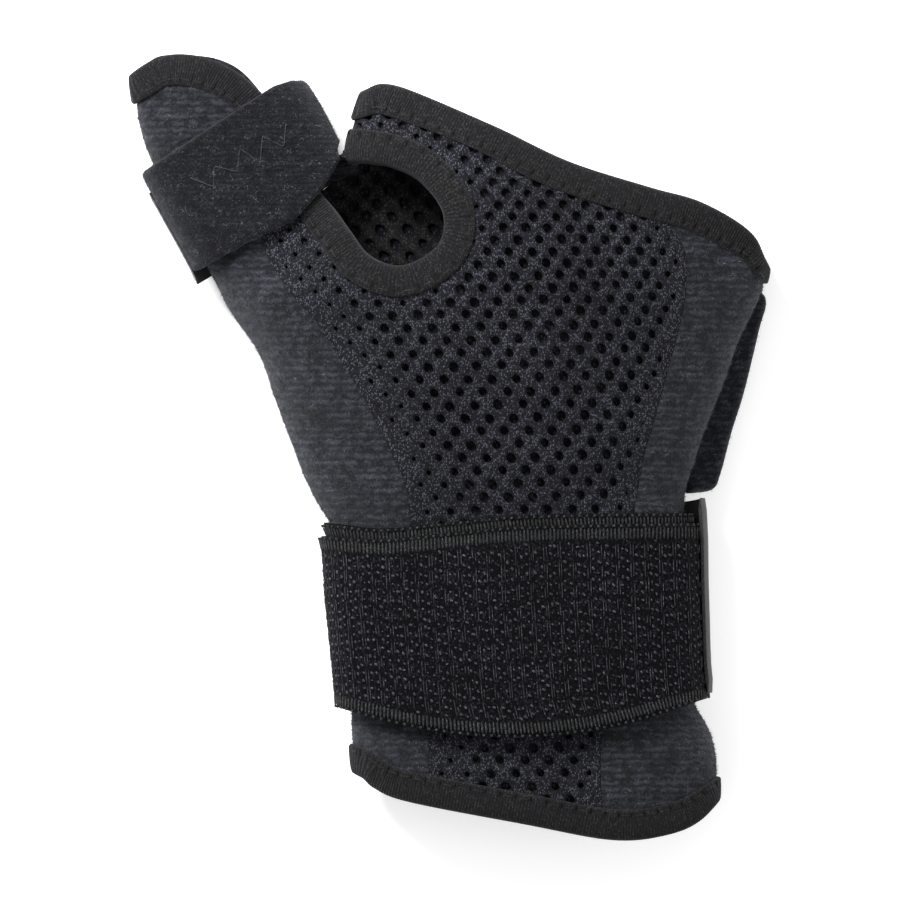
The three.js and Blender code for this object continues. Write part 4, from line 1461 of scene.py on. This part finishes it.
def wrist_strap():
    edges = wrist_edges(0, 0)
    pairs = round(STRAP_ROUND / PAIR_PITCH)
    places = np.linspace(0, 2, pairs * 8 + 1)[:-1]
    start = WRIST_STACK - WRIST_STRAP_THICKNESS

    def ribs(place):
        return 0.14 * np.cos(place * math.pi * pairs * 2)

    profile = strap_profile(start, WRIST_STRAP_THICKNESS)
    body = band(
        "wrist_elastic", sleeve, places, edges, profile, ribs, "woven_elastic", "woven_elastic", "wrist_strap"
    )
    threads = wrist_threads(edges, pairs)
    return body, threads, selvedge_bars("wrist_elastic_bars", edges, WRIST_STACK - 0.05)


def wrist_threads(edges, pairs):
    """Two rows of beads and two broken lines of thread to each pair of ribs"""
    chance = np.random.default_rng(7)
    inset = SELVEDGE + 0.3
    rows = int((WRIST_STRAP_WIDTH - 2 * inset) / BEAD_PITCH)
    column, row = [part.ravel() for part in np.meshgrid(np.arange(2 * pairs), np.arange(rows))]
    second = column % 2
    places = (column - second + np.where(second, 1.36, 0.62)) / pairs + chance.normal(0, 0.0012, len(column))
    low, high = edges(places)
    wave = 0.3 + 0.3 * second + 0.35 * np.sin(column * 1.7)
    share = (row + wave + chance.normal(0, 0.08, len(column))) / rows
    along = low + inset + (high - low - 2 * inset) * np.clip(share, 0, 1)
    lean = chance.normal(-0.75, 0.3, len(column))
    size = np.array([0.44, 0.27, 0.24]) * chance.uniform(0.55, 1.2, (len(column), 1))
    beads = threads_on(sleeve, places, along, WRIST_STACK - 0.05, size, lean)
    columns = np.repeat(np.arange(2 * pairs), LINE_PARTS)
    part = np.tile(np.arange(LINE_PARTS), 2 * pairs)
    shift = np.where(columns % 2, 0.2, -0.2)
    places = (columns - columns % 2 + shift) / pairs + chance.normal(0, 0.0006, len(columns))
    low, high = edges(places)
    step = (high - low - 2 * inset) / LINE_PARTS
    length = step / 2 * chance.uniform(0.3, 0.98, len(columns))
    along = low + inset + step * (part + 0.5) + (step / 2 - length) * chance.uniform(-1, 1, len(columns))
    sizes = np.stack([length, np.full(len(columns), 0.11), np.full(len(columns), 0.12)], axis=1)
    lines = threads_on(sleeve, places, along, WRIST_STACK - 0.02, sizes)
    points = np.vstack([beads[0], lines[0]])
    triangles = np.vstack([beads[1], lines[1] + len(beads[0])])
    return piece("wrist_elastic_threads", points, triangles, "elastic_thread", "woven_elastic")


def selvedge_bars(name, edges, top, both_edges=True):
    """Short bars close together along a strap's edges, with a row of small loops outside them"""
    count = 2 * round(STRAP_ROUND / SELVEDGE_BAR_PITCH / 2)
    chance = np.random.default_rng(11)
    places = 2 * np.arange(count) / count
    low, high = edges(places)
    meshes, start = [], 0
    for way, edge in ((1, low), (-1, high))[0 if both_edges else 1:]:
        half = SELVEDGE / 2 - 0.55 + chance.normal(0, 0.1, count)
        bars = np.stack([half, np.full(count, 0.27), chance.uniform(0.1, 0.2, count)], axis=1)
        heights = chance.uniform(0.22, 0.34, count)
        loops = np.stack([np.full(count, 0.34), np.full(count, 0.36), heights], axis=1)
        rows = [
            threads_on(sleeve, places, edge + way * (SELVEDGE / 2 + 0.35), top, bars, 0.12),
            threads_on(sleeve, places[::2], (edge + way * 0.42)[::2], top - 0.12, loops[::2], 0.3),
        ]
        for points, triangles in rows:
            meshes.append((points, triangles + start))
            start += len(points)
    points, triangles = (np.vstack(parts) for parts in zip(*meshes))
    return piece(name, points, triangles, "selvedge_thread", "woven_elastic")


def wrist_strap_under():
    edges = wrist_edges(UNDER_STEP, UNDER_STEP)
    places = np.linspace(0, 2, 401)[:-1]
    profile = strap_profile(GAP, WRIST_STRAP_THICKNESS, rows=18)
    finish = ("woven_elastic", "woven_elastic", "wrist_strap_under")
    body = band("wrist_elastic_under", sleeve, places, edges, profile, np.zeros_like, *finish)
    top = GAP + WRIST_STRAP_THICKNESS - 0.05
    return body, selvedge_bars("under_elastic_bars", edges, top, both_edges=False)


outer_strap, outer_threads, outer_bars = wrist_strap()
under_strap, under_bars = wrist_strap_under()


WRIST_END_FRONT = 4.9
WRIST_END_BEHIND = 11
WRIST_END_PALE = (0.992, 0.005)
THUMB_END_PLACES = (1.76, 1.998)
THUMB_END_REACH = (-0.61, 0.36)
THUMB_END_PALE = (1.994, 0.006)
END_SHADE = 1.1


def hook_end(name, tube, places, low, high, start, thickness, pale, node):
    """A strap's stiff end, darkened towards near black all over but a pale line near its fold; pale is the place and
    half width of that line
    """

    def edges(place):
        return np.full(len(place), float(low)), np.full(len(place), float(high))

    profile = strap_profile(start, thickness, rows=14, roll=0.05)
    shade = END_SHADE * (1 - np.exp(-((places - pale[0]) / pale[1]) ** 4))
    finish = ("hook_tape", "hook_tape", node)
    return band(name, tube, places, edges, profile, np.zeros_like, *finish, shade=shade)


def wrist_strap_end():
    high = WRIST_STRAP_MIDDLE + WRIST_STRAP_WIDTH / 2 + END_STEP
    front = 1 - WRIST_END_FRONT / STRAP_ROUND * 2
    behind = 1 + WRIST_END_BEHIND / STRAP_ROUND * 2
    places = np.linspace(front, behind, 120)
    low = high - WRIST_STRAP_WIDTH
    layer = (WRIST_STACK + GAP, END_THICKNESS, WRIST_END_PALE)
    return hook_end("wrist_hook_end", sleeve, places, low, high, *layer, "wrist_strap_end")


def thumb_strap_end():
    places = np.linspace(*THUMB_END_PLACES, 60)
    low, high = [share * THUMB_STRAP_WIDTH for share in THUMB_END_REACH]
    layer = (THUMB_STACK + GAP + END_THICKNESS / 2, END_THICKNESS / 2, THUMB_END_PALE)
    return hook_end("thumb_hook_end", gutter, places, low, high, *layer, "thumb_strap_end")


wrist_end = wrist_strap_end()
thumb_end = thumb_strap_end()


def thumb_strap():
    """The strap that closes the gutter lies over the skin, and behind it stops at the sleeve"""
    outline = on_thumb(THUMB_STRAP, THUMB_STRAP_WIDTH)

    def inside(points):
        seen = points[:, :2]
        local = turned_back(seen)
        over = thumb_section(local[:, 1])[1] + 0.5 - local[:, 0]
        under = beyond(sleeve_section, seen, FOLD_HEIGHT) - 1.3
        return np.minimum(to_outline(seen, outline), front_and_back(points, over, under))

    points, triangles = finer(*clip(skin, skin_triangles, inside(skin)))
    edge = inside(points)
    folded_over = smoothstep(-turned_back(points[:, :2])[:, 0], 12, 19)
    outer = THUMB_STACK + 0.7 * folded_over - rounded(edge, 1.3, THUMB_STRAP_THICKNESS * 0.5)
    inner = THUMB_STRAP_GAP + rounded(edge, 0.8, 0.3)
    strip = wall(points, triangles, outer, inner)
    shown = piece("thumb_loop", *strip, "strap_loop", "brushed_loop", "thumb_strap")
    return shown, fuzz("thumb_loop_pile", points, triangles, outer, 5)


strap, strap_pile = thumb_strap()


ZIGZAG_TURNS = 9
ZIGZAG_REACH = (-12.0, 13.5)
ZIGZAG_MIDDLE = 5.4
ZIGZAG_SWING = 2.4


def zigzag_seam():
    """The zigzag seam along the thumb strap, half sunk in its pile"""
    chance = np.random.default_rng(9)
    count = ZIGZAG_TURNS
    across = np.linspace(*ZIGZAG_REACH, count) + chance.normal(0, 0.4, count)
    along = ZIGZAG_MIDDLE + ZIGZAG_SWING * (-1.0) ** np.arange(count) * chance.uniform(0.8, 1.2, count)
    line = evenly(turned(np.stack([across, along], axis=1)), 6 * count)
    depth = 0.2 * np.sin(np.arange(len(line)) * 0.55)
    placed = above.at(line, THUMB_STACK + 0.12 + depth)
    spots, ways = (placed[1:] + placed[:-1]) / 2, placed[1:] - placed[:-1]
    length = np.linalg.norm(ways, axis=1, keepdims=True)
    side = np.cross(ways / length, above.read(above.normals, spots[:, :2]))
    side /= np.linalg.norm(side, axis=1, keepdims=True)
    sizes = np.hstack([length * 0.6, np.full((len(spots), 2), 0.1)])
    return piece("zigzag_seam", *grains(spots, ways / length, side, sizes), "seam_thread", "brushed_loop")


strap_seam = zigzag_seam()


def back_flap():
    """The end of the wrap that shows behind the front layer, on the right"""
    outline = np.vstack([smooth_line(on_sleeve(BACK_FLAP)), on_sleeve([FLAP_ROOT])])
    x, y = np.arange(50, 82, 0.8), np.arange(-14, 46, 0.8)
    i, j = [part.ravel() for part in np.meshgrid(np.arange(len(x) - 1), np.arange(len(y) - 1), indexing="ij")]
    corner = i * len(y) + j
    triangles = np.vstack([
        np.stack([corner, corner + len(y), corner + len(y) + 1], axis=1),
        np.stack([corner, corner + len(y) + 1, corner + 1], axis=1),
    ])
    grid = np.stack([part.ravel() for part in np.meshgrid(x, y, indexing="ij")], axis=1)
    level = np.full((len(grid), 1), FLAP_HEIGHT)
    points = np.hstack([grid, level, np.tile([0.0, 0.0, 1.0], (len(grid), 1))])
    left, right = sleeve_section(grid[:, 1])[:2]
    inside = np.minimum(to_outline(grid, outline), grid[:, 0] - right + 6)
    points, triangles = clip(points, triangles, inside)
    edge = to_outline(points[:, :2], outline)
    outer = FLAP_THICKNESS - rounded(edge, 1.5, FLAP_THICKNESS * 0.45)
    inner = rounded(edge, 1.5, FLAP_THICKNESS * 0.45)
    sheet = wall(points, triangles, outer, inner)
    shown = piece("flap_behind", *sheet, "brushed_loop", "brushed_loop", "back_flap")
    return shown, fuzz("flap_behind_pile", points, triangles, outer, 6)


flap, flap_pile = back_flap()


# The cloth as it was cut: width and length in metres, and its area where the cut isn't a rectangle
Cut = namedtuple("Cut", "sheet flat area held rests_on goes_with")
CUTS = [
    Cut(left_plush, (0.088, 0.200), 0.0092, "folded", [front_face], [left_pile]),
    Cut(right_plush, (0.058, 0.162), 0.0062, "folded", [front_face], [right_pile]),
    Cut(front_face, (0.102, 0.187), 0.0115, "folded", [front_lining], [
        top_binding, top_stitches, bottom_binding, bottom_stitches, hole_binding, hole_stitches,
    ]),
    Cut(front_lining, (0.102, 0.187), 0.0110, "folded", [front_face], []),
    Cut(back_face, (0.104, 0.188), 0.0130, "laid", [back_lining], []),
    Cut(back_lining, (0.104, 0.188), 0.0132, "laid", [back_face], []),
    Cut(flap, (0.022, 0.054), 0.0006, "folded", [right_plush], [flap_pile]),
    Cut(strap, (0.027, 0.120), None, "folded", [left_plush], [
        strap_pile, strap_seam, flap_binding, flap_stitches,
    ]),
    Cut(outer_strap, (0.050, 0.215), None, "stretched", [under_strap], [outer_threads, outer_bars]),
    Cut(under_strap, (0.050, 0.205), None, "stretched", [left_plush, right_plush], [under_bars]),
    Cut(wrist_end, (0.050, 0.020), None, "folded", [outer_strap], []),
    Cut(thumb_end, (0.0175, 0.026), None, "folded", [strap], []),
]
for cut in CUTS:
    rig.sheet(
        cut.sheet,
        flat=cut.flat,
        held=cut.held,
        rests_on=cut.rests_on,
        area=cut.area,
        with_pieces=cut.goes_with,
    )


# Camera, light and floor
VIEW_WIDTH = 0.225
VIEW_HEIGHT = 0.017
VIEW_SHIFT = -0.001
LENS = 600
SENSOR = 36
FLOOR_DROP = 0.0004


def camera():
    data = bpy.data.cameras.new("camera")
    data.lens = LENS
    data.sensor_width = SENSOR
    obj = bpy.data.objects.new("camera", data)
    bpy.context.scene.collection.objects.link(obj)
    obj.location = (0, VIEW_SHIFT, VIEW_HEIGHT + VIEW_WIDTH * LENS / SENSOR)
    bpy.context.scene.camera = obj


def light(name, place, aim, power, size):
    data = bpy.data.lights.new(name, "AREA")
    data.energy = power
    data.size = size
    obj = bpy.data.objects.new(name, data)
    bpy.context.scene.collection.objects.link(obj)
    obj.location = place
    obj.rotation_euler = (Vector(aim) - Vector(place)).to_track_quat("-Z", "Y").to_euler()


def floor():
    bpy.ops.mesh.primitive_plane_add(size=6, location=(0, 0, -FLOOR_DROP))
    obj = bpy.context.object
    obj.name = "floor"
    obj.select_set(False)
    material = bpy.data.materials.new("pale floor")
    material.use_nodes = True
    shader = material.node_tree.nodes["Principled BSDF"]
    shader.inputs["Base Color"].default_value = (0.9, 0.9, 0.9, 1)
    shader.inputs["Roughness"].default_value = 0.9
    shader.inputs["Emission Color"].default_value = (1, 1, 1, 1)
    shader.inputs["Emission Strength"].default_value = 0.35
    obj.data.materials.append(material)
    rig.stage(obj)


def daylight():
    world = bpy.data.worlds.new("soft studio")
    bpy.context.scene.world = world
    world.use_nodes = True
    background = world.node_tree.nodes["Background"]
    background.inputs["Color"].default_value = (1, 1, 1, 1)
    background.inputs["Strength"].default_value = 0.62


bpy.context.scene.view_settings.view_transform = "Standard"
camera()
floor()
daylight()
light("key", (-0.28, 0.41, 0.42), (-0.03, 0.03, 0), 8.5, 0.26)
light("fill", (0.6, -0.3, 0.6), (0, 0, 0), 3, 0.7)

with open("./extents.json", "w") as sizes:
    json.dump(
        {"cad": [list(corner) for corner in cad_box], "visual": [list(corner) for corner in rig.bounds()]},
        sizes,
    )
